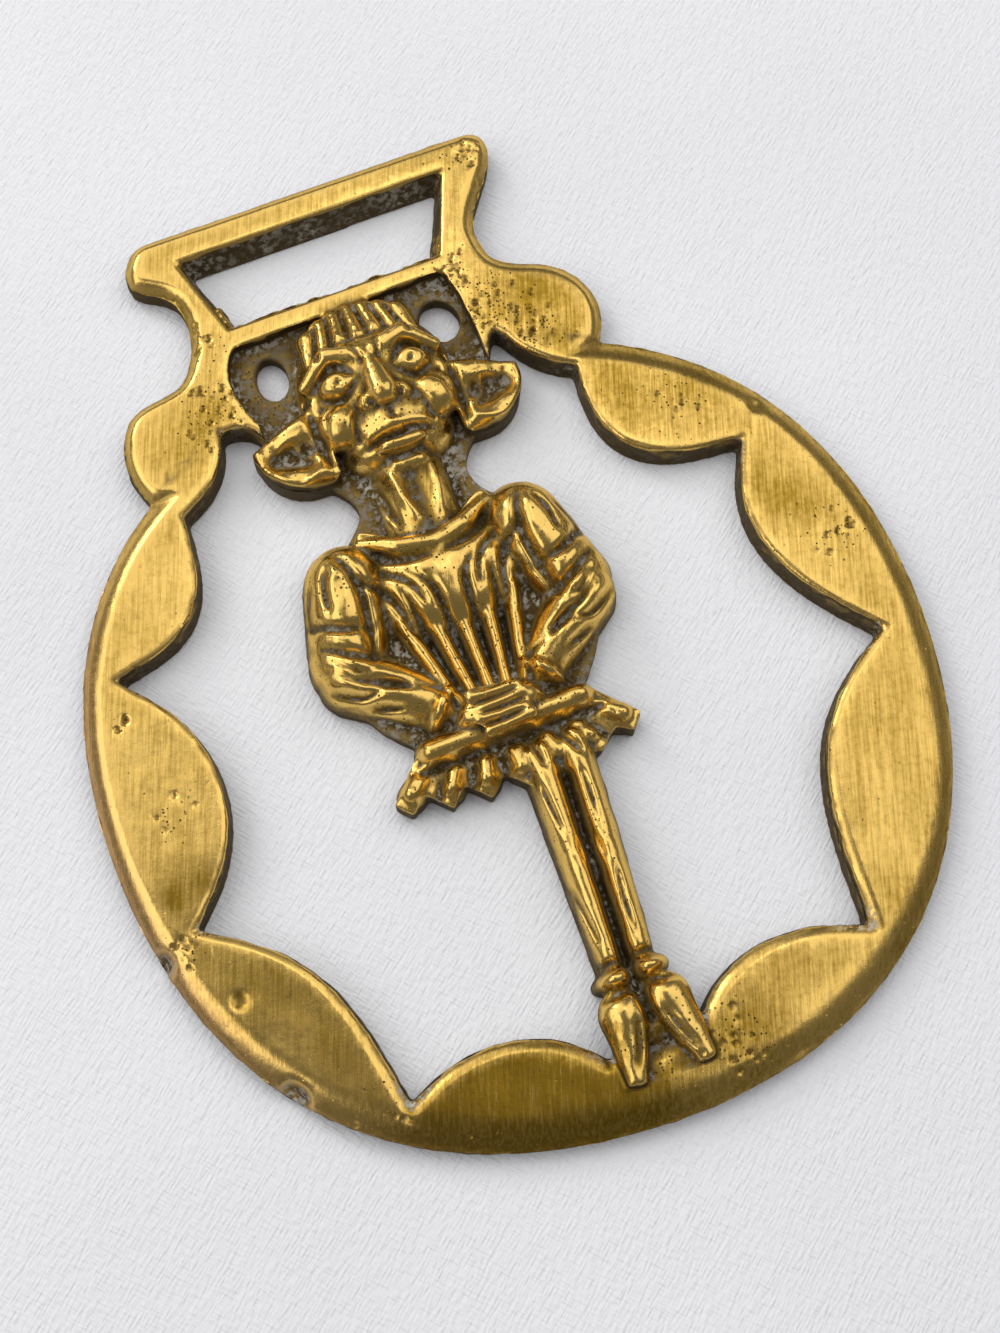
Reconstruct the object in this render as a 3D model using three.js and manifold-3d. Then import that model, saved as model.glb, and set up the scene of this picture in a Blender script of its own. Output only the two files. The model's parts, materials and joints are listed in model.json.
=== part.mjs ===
// Horse brass: a face brass for a harness, cast in one piece.
//
// A scalloped ring carries a strap hanger above it and, in its opening, a goblin in a
// belted tunic who stands on the bottom of the ring. The back is flat.
//
// Millimetres. +X is to the right as the front is seen, +Y runs up to the hanger and
// +Z points out of the front. The shapes are drawn around the middle of the ring, and the
// finished casting is moved so that the origin is the middle of the back of its box.

import * as THREE from 'three';
import { mergeVertices } from 'three/addons/utils/BufferGeometryUtils.js';
import Module from 'manifold-3d';

const wasm = await Module();
wasm.setup();

// ---- Driving dimensions ------------------------------------------------------------

const RING_RADIUS = 39.6;          // to the outer edge of the ring
// How the hand-filed edge leaves a true circle: waves around the ring, height, phase.
const RING_WAVES = [[1, 0.28, -0.60], [2, 0.83, -0.65], [3, 0.41, 1.22], [4, 0.82, 2.87]];
const PLATE = 3.2;                 // thickness of the ring and the hanger
const BACKING = 1.8;               // thickness of the sunk web behind the figure
const DRAFT = 0.8;                 // how far an inner wall leans out from front to back
const SLOT_LEAN = 1.2;             // the same for the walls of the strap slot
const RIM_WIDTH = 2.2;             // worn slope along the outside of the ring
const RIM_DROP = 1.3;
const HANGER_WIDTH = 1.2;          // the same slope along the hanger
const HANGER_DROP = 1.1;
const BELOW = 4;                   // how far a form may reach below the back before the cut
const ABOVE = 6;                   // how far a cutter reaches above the front
const UNDER = 0.4;                 // how far a leaning cutter reaches below the back

const HEAD_X = -0.5;               // middle of the head
const BODY_X = -1.4;               // middle of the tunic
const LEG_LEAN = -1.5;             // how far the legs lean from the hem to the shoes
const LEG_X = 2.0;                 // middle of the legs at the hem

const BRASS = { color: 0xc9a14a, roughness: 0.32, metalness: 1.0 };

// ---- Making solids -----------------------------------------------------------------

// A closed geometry as a solid that can be joined and cut.
function solid(geometry) {
  const bare = geometry.index ? geometry.toNonIndexed() : geometry.clone();
  bare.deleteAttribute('normal');
  bare.deleteAttribute('uv');
  const merged = mergeVertices(bare, 1e-4);
  const corners = merged.index.array;
  const kept = [];
  for (let i = 0; i < corners.length; i += 3) {
    const [a, b, c] = [corners[i], corners[i + 1], corners[i + 2]];
    if (a !== b && b !== c && c !== a) kept.push(a, b, c);
  }
  return new wasm.Manifold(new wasm.Mesh({
    numProp: 3,
    vertProperties: new Float32Array(merged.attributes.position.array),
    triVerts: new Uint32Array(kept),
  }));
}

const joined = (solids) => solids.reduce((whole, next) => whole.add(next));

// A shape pulled straight up from z = low to z = high.
function slab(shape, low, high, curveSegments = 12) {
  const geometry = new THREE.ExtrudeGeometry(shape, {
    depth: high - low, bevelEnabled: false, curveSegments,
  });
  return solid(geometry.translate(0, 0, low));
}

// A plate whose front edge rolls off: `slope` wide and `drop` deep, flat at the back.
function rolledPlate(shape, slope, drop, curveSegments = 12, steps = 2) {
  const geometry = new THREE.ExtrudeGeometry(shape, {
    depth: PLATE - drop + BELOW, bevelEnabled: true, bevelThickness: drop,
    bevelSize: slope, bevelOffset: -slope, bevelSegments: steps, curveSegments,
  });
  return solid(geometry.translate(0, 0, -BELOW));
}

// A cutter with the given outline at the back, whose walls lean out towards the front.
function leaningCutter(shape, lean, curveSegments = 12) {
  const geometry = new THREE.ExtrudeGeometry(shape, {
    depth: ABOVE, bevelEnabled: true, bevelThickness: PLATE + UNDER,
    bevelSize: lean, bevelSegments: 1, curveSegments,
  });
  return solid(geometry.translate(0, 0, PLATE));
}

// A rounded mass: an ellipsoid at a place, with its three half sizes, turned about Z.
function mass(x, y, z, rx, ry, rz, turn = 0, around = 14, along = 8) {
  const geometry = new THREE.SphereGeometry(1, around, along);
  geometry.rotateX(Math.PI / 2).scale(rx, ry, rz).rotateZ(turn).translate(x, y, z);
  return solid(geometry);
}

// A rod with round ends between two places, with its own radius at each end.
function rodGeometry(start, end, startRadius, endRadius, sides) {
  const run = new THREE.Vector3().subVectors(end, start);
  const length = run.length();
  const steps = 3;
  const profile = [];
  for (let i = 0; i <= steps; i++) {
    const turn = (Math.PI / 2) * (i / steps - 1);
    profile.push(new THREE.Vector2(i ? startRadius * Math.cos(turn) : 0, startRadius * Math.sin(turn)));
  }
  for (let i = 0; i <= steps; i++) {
    const turn = (Math.PI / 2) * (i / steps);
    const radius = i < steps ? endRadius * Math.cos(turn) : 0;
    profile.push(new THREE.Vector2(radius, length + endRadius * Math.sin(turn)));
  }
  const towards = new THREE.Quaternion().setFromUnitVectors(
    new THREE.Vector3(0, 1, 0), run.normalize());
  return new THREE.LatheGeometry(profile, sides).applyQuaternion(towards)
    .translate(start.x, start.y, start.z);
}

function rod(start, end, startRadius, endRadius, sides = 6) {
  return solid(rodGeometry(
    new THREE.Vector3(...start), new THREE.Vector3(...end), startRadius, endRadius, sides));
}

// A limb in relief: a rod that lies on the back, `rise` times as tall as it is wide, so
// that its sides stand upright where it meets the back.
function limb(start, end, startRadius, endRadius, rise, sides = 10) {
  return solid(rodGeometry(
    new THREE.Vector3(...start, 0), new THREE.Vector3(...end, 0), startRadius, endRadius, sides)
    .scale(1, 1, rise));
}

// A roll that bends through three or more places, one radius at each.
function roll(places, radii, sides = 6) {
  return joined(places.slice(1).map((place, i) =>
    rod(places[i], place, radii[i], radii[i + 1], sides)));
}

// The same thing on the left and on the right of a middle line.
const bothSides = (make) => joined([make(-1), make(1)]);

// A shape from a start and a list of Bezier arcs, each [control, control, end].
function drawn(start, arcs) {
  const shape = new THREE.Shape();
  shape.moveTo(...start);
  for (const arc of arcs) {
    if (arc.length === 1) shape.lineTo(...arc[0]);
    else shape.bezierCurveTo(...arc[0], ...arc[1], ...arc[2]);
  }
  return shape;
}

// ---- The ring and the hanger ---------------------------------------------------------

// The outer edge of the ring, which wavers a little from a circle.
function ringOutline(count = 120) {
  const points = [];
  for (let i = 0; i < count; i++) {
    const angle = (2 * Math.PI * i) / count;
    const radius = RING_WAVES.reduce((sum, [waves, height, phase]) =>
      sum + height * Math.cos(waves * angle - phase), RING_RADIUS);
    points.push(new THREE.Vector2(radius * Math.cos(angle), radius * Math.sin(angle)));
  }
  return new THREE.Shape(points);
}

// The hanger: two round lobes, a waist and out-turned horns under a straight top.
function hangerOutline() {
  return drawn([-19, 30], [
    [[-24.5, 32.2]],
    [[-26.3, 34.5], [-26.3, 38.6], [-24.0, 41.2]],
    [[-22.2, 42.9], [-19.4, 42.0], [-17.8, 43.3]],
    [[-16.1, 45.0], [-15.2, 47.5], [-15.4, 50.2]],
    [[-15.7, 53.2], [-18.2, 53.2], [-19.3, 54.6]],
    [[-20.0, 56.4], [-18.3, 58.9], [-16.5, 58.9]],
    [[17.6, 59.1]],
    [[19.4, 59.0], [19.8, 57.6], [19.2, 55.8]],
    [[18.0, 53.1], [15.0, 51.0], [14.7, 48.3]],
    [[14.6, 45.0], [15.7, 44.1], [18.3, 43.2]],
    [[23.0, 41.6], [24.8, 36.6], [21.7, 32.6]],
    [[17, 30]],
  ]);
}

// The opening of the ring at the back: bulges that meet in points, and the arch of each
// web above them.
function ringOpening() {
  return drawn([0, -31.7], [
    [[4.0, -31.0]],
    [[9.0, -25.2], [16.7, -25.8], [21.6, -28.5]],
    [[22.1, -14.3], [25.2, -8.9], [34.1, -4.4]],
    [[25.9, 4.7], [25.6, 11.2], [29.6, 17.4]],
    [[20.0, 17.5], [16.2, 22.0], [17.7, 30.5]],
    [[15.4, 31.6], [13.5, 33.8], [12.4, 36.4]],
    [[12.0, 35.6], [11.7, 34.8], [11.5, 34.0]],
    [[8, 29]], [[-9, 29]], [[-13.2, 34.0]],
    [[-13.4, 35.3], [-14.5, 36.0], [-15.7, 35.9]],
    [[-16.3, 33.1], [-18.1, 30.9], [-21.6, 29.3]],
    [[-21.8, 21.6], [-24.0, 17.3], [-32.3, 16.4]],
    [[-25.5, 10.2], [-24.2, -0.2], [-33.0, -7.6]],
    [[-24.9, -12.2], [-22.7, -16.9], [-21.2, -27.8]],
    [[-16.6, -25.2], [-8.4, -24.9], [-4.0, -31.0]],
  ]);
}

// The strap slot at the back, wider at the top.
const slotOutline = () => drawn([-12.9, 54.3], [[[-10.9, 47.8]], [[9.6, 47.9]], [[12.6, 54.6]]]);

// The sunk field behind the head, between the lower bar and the two webs.
function headField() {
  return drawn([-12.2, 44.5], [
    [[-14.2, 42.0], [-13.8, 39.5], [-12.4, 36.0]],
    [[-12.4, 33.0]], [[-9, 27]], [[8, 27]], [[11.0, 33.0]],
    [[10.8, 36.0]],
    [[10.7, 39.0], [10.9, 42.0], [9.9, 45.1]],
  ]);
}

const oval = (x, y, rx, ry, turn = 0) =>
  new THREE.Shape(new THREE.EllipseCurve(x, y, rx, ry, 0, 2 * Math.PI, false, turn).getPoints(14));

function frame() {
  const ring = rolledPlate(ringOutline(), RIM_WIDTH, RIM_DROP);
  const hanger = rolledPlate(hangerOutline(), HANGER_WIDTH, HANGER_DROP, 7);
  const opening = leaningCutter(ringOpening(), DRAFT, 10);
  const slot = leaningCutter(slotOutline(), SLOT_LEAN);
  const field = slab(headField(), BACKING, PLATE + ABOVE, 5);
  return ring.add(hanger).subtract(opening).subtract(slot).subtract(field);
}

// ---- The goblin ------------------------------------------------------------------------

// The thin web that ties head, ears, shoulders and sleeves to one another.
function web() {
  const behindHead = drawn([-13.8, 44.0], [
    [[-14.2, 40.0]], [[-12.9, 35.4]], [[-12.2, 31.0]],
    [[-9.5, 28.6], [-6.6, 27.4], [-6.6, 24.6]],
    [[-6.6, 23.0], [-8.6, 22.4], [-10.0, 20.6]],
    [[7.4, 20.6]],
    [[5.6, 22.6], [4.8, 23.0], [4.8, 24.8]],
    [[4.8, 27.4], [8.0, 28.6], [10.9, 31.0]],
    [[11.0, 35.4]], [[11.6, 40.0]], [[11.2, 45.4]], [[-12.8, 45.4]],
  ]);
  const withinArms = oval(BODY_X, 9.5, 12.6, 11.5);
  return slab(behindHead, 0, BACKING, 5).add(slab(withinArms, 0, BACKING));
}

function eyelets() {
  const left = slab(oval(-9.6, 40.7, 1.6, 2.3, -0.1), -1, BACKING + 1);
  const right = slab(oval(7.9, 40.7, 2.0, 2.3, 0.2), -1, BACKING + 1);
  return left.add(right);
}

// A pointed ear with a hollow in it.
function ear(side) {
  const at = (x) => HEAD_X + side * x;
  const leaf = drawn([at(6.4), 36.0], [
    [[at(8.6), 35.6], [at(11.4), 34.2], [at(13.7), 33.3]],
    [[at(13.6), 29.6], [at(10.6), 26.8], [at(6.4), 28.0]],
  ]);
  const body = slab(leaf, 0, 4.4, 5);
  const hollow = mass(at(10.1), 31.4, 5.0, 3.0, 2.2, 2.6, side * 0.4, 12, 6);
  return body.subtract(hollow);
}

function face() {
  const masses = joined([
    mass(HEAD_X, 36.4, 0, 8.3, 8.1, 6.5, 0, 22, 12),
    mass(HEAD_X, 31.0, 0, 6.4, 5.4, 6.3, 0, 18, 10),
    bothSides((side) => mass(HEAD_X + side * 4.5, 32.4, 3.7, 2.7, 2.5, 2.5, 0, 10, 6)),
  ]);
  const sockets = bothSides((side) =>
    mass(HEAD_X + side * 3.8, 36.2, 6.9, 2.8, 1.9, 2.0, side * 0.1, 12, 6));
  const mouth = roll([[HEAD_X - 3.2, 29.9, 6.0], [HEAD_X, 29.2, 6.6], [HEAD_X + 3.2, 29.9, 6.0]],
    [0.35, 0.6, 0.35], 5);
  const eyes = bothSides((side) => mass(HEAD_X + side * 3.7, 36.1, 4.9, 1.9, 1.6, 1.5, 0, 10, 6));
  const brows = bothSides((side) => roll([
    [HEAD_X + side * 1.0, 38.2, 5.9], [HEAD_X + side * 3.9, 39.2, 5.6],
    [HEAD_X + side * 6.8, 37.4, 4.2]], [1.0, 1.0, 0.6]));
  const nose = joined([
    rod([HEAD_X, 38.2, 5.4], [HEAD_X, 33.6, 6.3], 1.0, 1.5, 8),
    bothSides((side) => mass(HEAD_X + side * 1.7, 33.2, 5.6, 1.1, 1.0, 1.2, 0, 8, 4)),
  ]);
  const lip = rod([HEAD_X - 1.9, 28.3, 5.4], [HEAD_X + 1.9, 28.3, 5.4], 0.7, 0.7);
  return masses.subtract(sockets).subtract(mouth).add(joined([eyes, brows, nose, lip]));
}

// A short fringe of pointed locks under the lower bar of the hanger.
function hair() {
  const locks = [];
  for (let lock = -3; lock <= 3; lock++) {
    const spread = lock * lock;
    locks.push(rod([HEAD_X + lock * 1.5, 43.6 - 0.16 * spread, 3.0],
      [HEAD_X + lock * 1.85, 41.3 - 0.24 * spread, 4.9 - 0.1 * spread], 1.4, 0.5, 5));
  }
  return joined(locks);
}

const head = () => joined([face(), bothSides(ear), hair()]);
const neck = () => limb([HEAD_X - 0.3, 28], [HEAD_X - 0.7, 20], 4.1, 4.3, 1.1, 12);

// Shoulder, sleeve with its folds, forearm and cuff of one side.
function arm(side) {
  const at = (x) => BODY_X + side * x;
  const sleeve = joined([
    limb([at(8.9), 17.8], [at(11.3), 10.8], 4.4, 4.0, 1.48, 14),
    limb([at(11.4), 9.2], [at(4.4), 3.0], 3.6, 2.5, 1.75, 12),
  ]);
  const folds = joined([0, 1, 2].map((fold) => roll([
    [at(14.0 - 0.5 * fold), 15.4 - 2.9 * fold, 5.0],
    [at(11.2 - 0.7 * fold), 13.2 - 3.0 * fold, 6.4],
    [at(8.4 - 0.9 * fold), 12.4 - 3.2 * fold, 5.6]], [0.4, 0.7, 0.4], 4)));
  const cuff = mass(at(4.9), 3.3, 0, 1.3, 2.9, 5.4, side * 0.75, 12, 6);
  return sleeve.subtract(folds).add(cuff);
}

// Two hands laid one in the other, with their fingers.
function hands() {
  const palms = bothSides((side) =>
    mass(BODY_X + side * 2.4, 1.2, 0, 2.9, 2.2, 5.7, side * 0.35, 12, 8));
  const fingers = [];
  for (let finger = 0; finger < 4; finger++) {
    const y = 2.4 - finger * 1.1;
    const side = finger % 2 ? 1 : -1;
    fingers.push(rod([BODY_X + side * 2.2, y + 0.4, 5.2], [BODY_X - side * 1.8, y, 5.3], 0.75, 0.6));
  }
  return palms.add(joined(fingers));
}

// The breast of the tunic, its rolled collar and the pleats that fall to the belt.
function tunic() {
  const breast = mass(BODY_X, 15.4, 0, 9.2, 6.8, 5.6, 0, 20, 10);
  const collar = bothSides((side) => roll([
    [BODY_X + side * 6.0, 21.0, 3.6], [BODY_X + side * 3.2, 19.0, 4.6], [BODY_X, 18.2, 5.0]],
    [0.9, 0.9, 0.8]));
  const pleats = [];
  for (let pleat = -2; pleat <= 2; pleat++) {
    pleats.push(limb([BODY_X + pleat * 2.7, 12.0], [BODY_X + pleat * 1.5, 2.0], 1.2, 0.9, 3.4, 8));
  }
  return joined([breast, collar, ...pleats]);
}

// The skirt: flutes that flare from the belt to a hem cut in points.
function skirt() {
  const count = 7;
  const across = (i) => (2 * i) / (count - 1) - 1;
  const hem = [];
  for (let i = 0; i < count; i++) {
    const u = across(i);
    hem.push([[BODY_X + u * 10.9, -6.4 + 1.3 * u * u]]);
    if (i < count - 1) hem.push([[BODY_X + across(i + 0.5) * 11.2, -4.6 + 1.1 * u * u]]);
  }
  const cloth = slab(drawn([BODY_X - 8.2, 0.6],
    [[[BODY_X - 12.2, -3.6]], ...hem, [[BODY_X + 12.2, -3.6]], [[BODY_X + 8.2, 0.6]]]), 0, 2.8);
  const flutes = [];
  for (let i = 0; i < count; i++) {
    const u = across(i);
    flutes.push(limb([BODY_X + u * 7.2, -0.6], [BODY_X + u * 10.4, -4.4 + 1.2 * u * u],
      1.2, 1.5, 2.6, 8));
  }
  const belt = limb([BODY_X - 7.4, -0.3], [BODY_X + 7.4, -0.3], 1.7, 1.7, 2.7, 10);
  return joined([cloth, belt, ...flutes]);
}

// Two legs held together, in hose, and their pointed shoes on the bottom of the ring.
function legs() {
  const knee = LEG_X + LEG_LEAN * 0.45;
  const foot = LEG_X + LEG_LEAN;
  const heel = mass(foot, -29.0, 0, 2.6, 4.8, 3.9, 0, 10, 6);
  return heel.add(bothSides((side) => joined([
    limb([LEG_X + side * 1.7, -4], [knee + side * 1.55, -14], 1.95, 1.8, 2.3),
    limb([knee + side * 1.55, -14], [foot + side * 1.4, -25], 1.8, 1.5, 2.4),
    mass(foot + side * 1.6, -25.5, 0, 2.2, 1.2, 5.2, 0, 12, 6),
    rod([foot + side * 2.0, -28.6, 2.8], [foot + side * 3.3, -34.3, 3.4], 2.4, 1.0, 10),
  ])));
}

// ---- The casting -----------------------------------------------------------------------

const figure = joined([web(), head(), neck(), tunic(), bothSides(arm), hands(), skirt(), legs()]);
const block = solid(new THREE.BoxGeometry(200, 200, 40).translate(0, 0, 20));
const casting = frame().add(figure).subtract(eyelets()).intersect(block);

const { vertProperties, triVerts } = casting.getMesh();
const geometry = new THREE.BufferGeometry();
geometry.setAttribute('position', new THREE.BufferAttribute(vertProperties, 3));
geometry.setIndex(new THREE.BufferAttribute(triVerts, 1));
geometry.computeBoundingBox();
const middle = geometry.boundingBox.getCenter(new THREE.Vector3());

const brass = new THREE.Mesh(geometry, new THREE.MeshStandardMaterial(BRASS));
brass.name = 'brass_casting';
brass.position.set(-middle.x, -middle.y, 0);

const horseBrass = new THREE.Group();
horseBrass.add(brass);

export default horseBrass;
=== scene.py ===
"""Dresses the horse brass: a harness ornament cast in one piece of brass.

The casting is modelled in millimetres around the middle of its ring, as the pattern maker
would lay it out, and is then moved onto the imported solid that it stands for.  +X is to the
right as the front is seen, +Y runs up to the strap hanger and +Z points out of the front.
"""
from __future__ import annotations

import json
import logging
import math
from dataclasses import dataclass, field
from enum import Enum
from functools import partial, reduce
from typing import Iterable, Sequence

import bpy
import numpy as np
from mathutils import Matrix, Vector

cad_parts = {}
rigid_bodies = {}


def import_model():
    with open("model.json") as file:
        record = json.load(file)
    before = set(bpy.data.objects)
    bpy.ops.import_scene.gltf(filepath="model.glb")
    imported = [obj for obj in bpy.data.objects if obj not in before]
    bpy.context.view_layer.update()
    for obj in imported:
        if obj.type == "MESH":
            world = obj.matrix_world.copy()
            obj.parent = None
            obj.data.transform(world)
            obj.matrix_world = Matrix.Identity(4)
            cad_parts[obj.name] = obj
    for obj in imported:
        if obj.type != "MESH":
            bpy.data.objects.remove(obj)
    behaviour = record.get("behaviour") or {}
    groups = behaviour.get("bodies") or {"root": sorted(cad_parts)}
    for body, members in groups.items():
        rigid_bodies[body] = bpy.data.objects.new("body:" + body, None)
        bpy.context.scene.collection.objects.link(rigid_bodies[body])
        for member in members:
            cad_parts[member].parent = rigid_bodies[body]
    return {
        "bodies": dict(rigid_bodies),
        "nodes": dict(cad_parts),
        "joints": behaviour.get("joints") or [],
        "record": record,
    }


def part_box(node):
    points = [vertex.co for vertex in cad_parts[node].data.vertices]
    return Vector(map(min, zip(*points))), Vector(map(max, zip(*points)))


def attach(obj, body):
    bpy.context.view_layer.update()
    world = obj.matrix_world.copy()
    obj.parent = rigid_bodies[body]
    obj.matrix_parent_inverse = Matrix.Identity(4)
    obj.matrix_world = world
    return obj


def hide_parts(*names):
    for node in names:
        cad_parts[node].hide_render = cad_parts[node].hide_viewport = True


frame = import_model()

LOG = logging.getLogger("horse_brass")
MM = 0.001
NODE = "brass_casting"

PLATE = 3.2          # thickness of the ring and the hanger
BACKING = 1.8        # thickness of the sunk web behind the figure
EAR_HEIGHT = 4.4     # thickness of the ears
UNDER = 0.4          # how far a cutter of the plate reaches past it, on both sides
ABOVE = 6.0          # how far the cutter of the sunk field reaches above the front

Point = tuple[float, float]
Place = tuple[float, float, float]
Arcs = Sequence[Sequence[Point]]


class Side(Enum):
    """The two sides of the figure, as the front is seen."""

    LEFT = -1
    RIGHT = 1


BOTH = (Side.LEFT.value, Side.RIGHT.value)


# ---- Outlines --------------------------------------------------------------------------------


def bezier_chain(start: Point, arcs: Arcs, steps: int = 16) -> np.ndarray:
    """Walks along a chain of straight lines and cubic Bezier arcs.

    Args:
        start: Where the chain begins.
        arcs: One entry a stretch: an end, or two controls and an end.
        steps: Points along each curved stretch.

    Returns:
        The points in order, one row each, without the closing one.
    """
    points = [np.array(start, float)]
    for arc in arcs:
        if len(arc) == 1:
            points.append(np.array(arc[0], float))
            continue
        p0, p1, p2, p3 = points[-1], *(np.array(p, float) for p in arc)
        for i in range(1, steps + 1):
            t = i / steps
            s = 1 - t
            points.append(s**3 * p0 + 3 * s * s * t * p1 + 3 * s * t * t * p2 + t**3 * p3)
    return np.array(points)


def spread(outline: np.ndarray, amount: float) -> np.ndarray:
    """Moves a closed outline outwards, with its corners kept sharp.

    Args:
        outline: The points, counter-clockwise.
        amount: How far, in millimetres.

    Returns:
        The moved points, one for each given.
    """
    ahead = np.roll(outline, -1, 0) - outline
    ahead /= np.linalg.norm(ahead, axis=1)[:, None] + 1e-9
    out_ahead = np.c_[ahead[:, 1], -ahead[:, 0]]
    out_behind = np.roll(out_ahead, 1, 0)
    middle = out_ahead + out_behind
    middle /= np.linalg.norm(middle, axis=1)[:, None] + 1e-9
    mitre = 1 / np.clip((middle * out_ahead).sum(1), 0.7, 1.0)
    return outline + middle * (amount * mitre)[:, None]


def thinned(outline: np.ndarray, least: float = 0.2) -> np.ndarray:
    """Drops the points that follow the one before too closely for a clean cut.

    Args:
        outline: The points.
        least: The shortest step that is kept, in millimetres.

    Returns:
        The points that are left.
    """
    kept = [outline[0]]
    for point in outline[1:]:
        if np.hypot(*(point - kept[-1])) > least:
            kept.append(point)
    return np.array(kept)


def counter_clockwise(outline: np.ndarray) -> np.ndarray:
    """Turns an outline round where it runs clockwise.

    Args:
        outline: The points.

    Returns:
        The points, counter-clockwise.
    """
    x, y = outline.T
    area = np.sum(x * np.roll(y, -1) - np.roll(x, -1) * y)
    return outline if area > 0 else outline[::-1]


def inside(points: np.ndarray, outline: np.ndarray) -> np.ndarray:
    """Tells which points lie inside a closed outline.

    Args:
        points: The points to test.
        outline: The closed outline.

    Returns:
        True for each point inside.
    """
    x, y = points[:, 0], points[:, 1]
    found = np.zeros(len(points), bool)
    for (ax, ay), (bx, by) in zip(outline, np.roll(outline, -1, 0)):
        crosses = (ay > y) != (by > y)
        found ^= crosses & (x < (bx - ax) * (y - ay) / (by - ay + 1e-12) + ax)
    return found


def distance_to(points: np.ndarray, path: np.ndarray, reach: float) -> np.ndarray:
    """Measures how far points lie from a closed path.

    Args:
        points: The points, one row each.
        path: The path's own points.
        reach: The distance past which points needn't be measured.

    Returns:
        The distance of each point, or a little over `reach` further out.
    """
    found = np.full(len(points), reach * 1.01)
    ends = np.roll(path, -1, 0)
    order = np.argsort(points[:, 0])
    across = points[order, 0]
    for a, b in zip(path, ends):
        first = np.searchsorted(across, min(a[0], b[0]) - reach)
        last = np.searchsorted(across, max(a[0], b[0]) + reach)
        near = order[first:last]
        height = points[near, 1]
        near = near[(height > min(a[1], b[1]) - reach) & (height < max(a[1], b[1]) + reach)]
        run = b - a
        gap = points[near] - a
        t = np.clip(gap @ run / (run @ run + 1e-12), 0, 1)
        away = np.hypot(gap[:, 0] - t * run[0], gap[:, 1] - t * run[1])
        found[near] = np.minimum(found[near], away)
    return found


class Grain:
    """Smooth random waves, the same on each run."""

    def __init__(self, seed: int) -> None:
        """Draws the lattice that the waves run through."""
        self.lattice = np.random.default_rng(seed).uniform(-1, 1, (32, 32, 32))

    def __call__(self, points: np.ndarray, wavelength: float) -> np.ndarray:
        """Reads the waves.

        Args:
            points: Places, one row each, with two or three numbers.
            wavelength: The distance from one random value to the next.

        Returns:
            A value from -1 to 1 at each place.
        """
        at = np.zeros((len(points), 3))
        at[:, :points.shape[1]] = points / wavelength + 11.3
        low = np.floor(at).astype(int)
        part = at - low
        part = part * part * (3 - 2 * part)
        total = np.zeros(len(points))
        for corner in range(8):
            step = np.array([corner & 1, corner >> 1 & 1, corner >> 2 & 1])
            cell = (low + step) % 32
            weight = np.prod(np.where(step, part, 1 - part), axis=1)
            total += weight * self.lattice[cell[:, 0], cell[:, 1], cell[:, 2]]
        return total


# ---- Modelling by operators ------------------------------------------------------------------


def deselect_all() -> None:
    """Leaves nothing selected, in object mode."""
    if bpy.context.object and bpy.context.object.mode != "OBJECT":
        bpy.ops.object.mode_set(mode="OBJECT")
    bpy.ops.object.select_all(action="DESELECT")


def make_active(obj: bpy.types.Object) -> None:
    """Selects one object alone and makes it the active one.

    Args:
        obj: The object.
    """
    deselect_all()
    obj.select_set(True)
    bpy.context.view_layer.objects.active = obj


def coordinates(obj: bpy.types.Object) -> np.ndarray:
    """Reads the places of an object's vertices.

    Args:
        obj: The object.

    Returns:
        The places, one row each.
    """
    places = np.empty(len(obj.data.vertices) * 3, np.float32)
    obj.data.vertices.foreach_get("co", places)
    return places.reshape(-1, 3).astype(float)


def place_vertices(obj: bpy.types.Object, places: np.ndarray) -> None:
    """Puts an object's vertices where they are told, one row each."""
    obj.data.vertices.foreach_set("co", places.astype(np.float32).ravel())
    obj.data.update()


def prism(name: str, foot: np.ndarray, low: float, high: float,
          top: np.ndarray | None = None) -> bpy.types.Object:
    """Extrudes an outline into a closed solid.

    Args:
        name: The name of the solid.
        foot: The outline at the foot.
        low: The height of the foot.
        high: The height of the top.
        top: The outline at the top, where it isn't the foot's.

    Returns:
        The solid.
    """
    deselect_all()
    bpy.ops.mesh.primitive_circle_add(vertices=len(foot), fill_type="NGON", location=(0, 0, 0))
    solid = bpy.context.object
    solid.name = name
    place_vertices(solid, np.c_[foot, np.full(len(foot), low)])
    bpy.ops.object.mode_set(mode="EDIT")
    bpy.ops.mesh.select_all(action="SELECT")
    bpy.ops.mesh.extrude_region_move(TRANSFORM_OT_translate={"value": (0, 0, high - low)})
    bpy.ops.object.mode_set(mode="OBJECT")
    if top is not None:
        places = coordinates(solid)
        upper = places[:, 2] > (low + high) / 2
        nearest = np.argmin(
            np.linalg.norm(places[upper][:, None, :2] - foot[None], axis=2), axis=1)
        places[upper, :2] = top[nearest]
        place_vertices(solid, places)
    bpy.ops.object.mode_set(mode="EDIT")
    bpy.ops.mesh.select_all(action="SELECT")
    bpy.ops.mesh.normals_make_consistent(inside=False)
    bpy.ops.object.mode_set(mode="OBJECT")
    return solid


def combine(target: bpy.types.Object, tool: bpy.types.Object, operation: str) -> None:
    """Joins one solid to another or cuts it out, and deletes the tool.

    Args:
        target: The solid that is kept.
        tool: The solid that is used up.
        operation: UNION, DIFFERENCE or INTERSECT.
    """
    make_active(target)
    modifier = target.modifiers.new("join", "BOOLEAN")
    modifier.object = tool
    modifier.operation = operation
    modifier.solver = "EXACT"
    bpy.ops.object.modifier_apply(modifier=modifier.name)
    bpy.data.objects.remove(tool)


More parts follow.
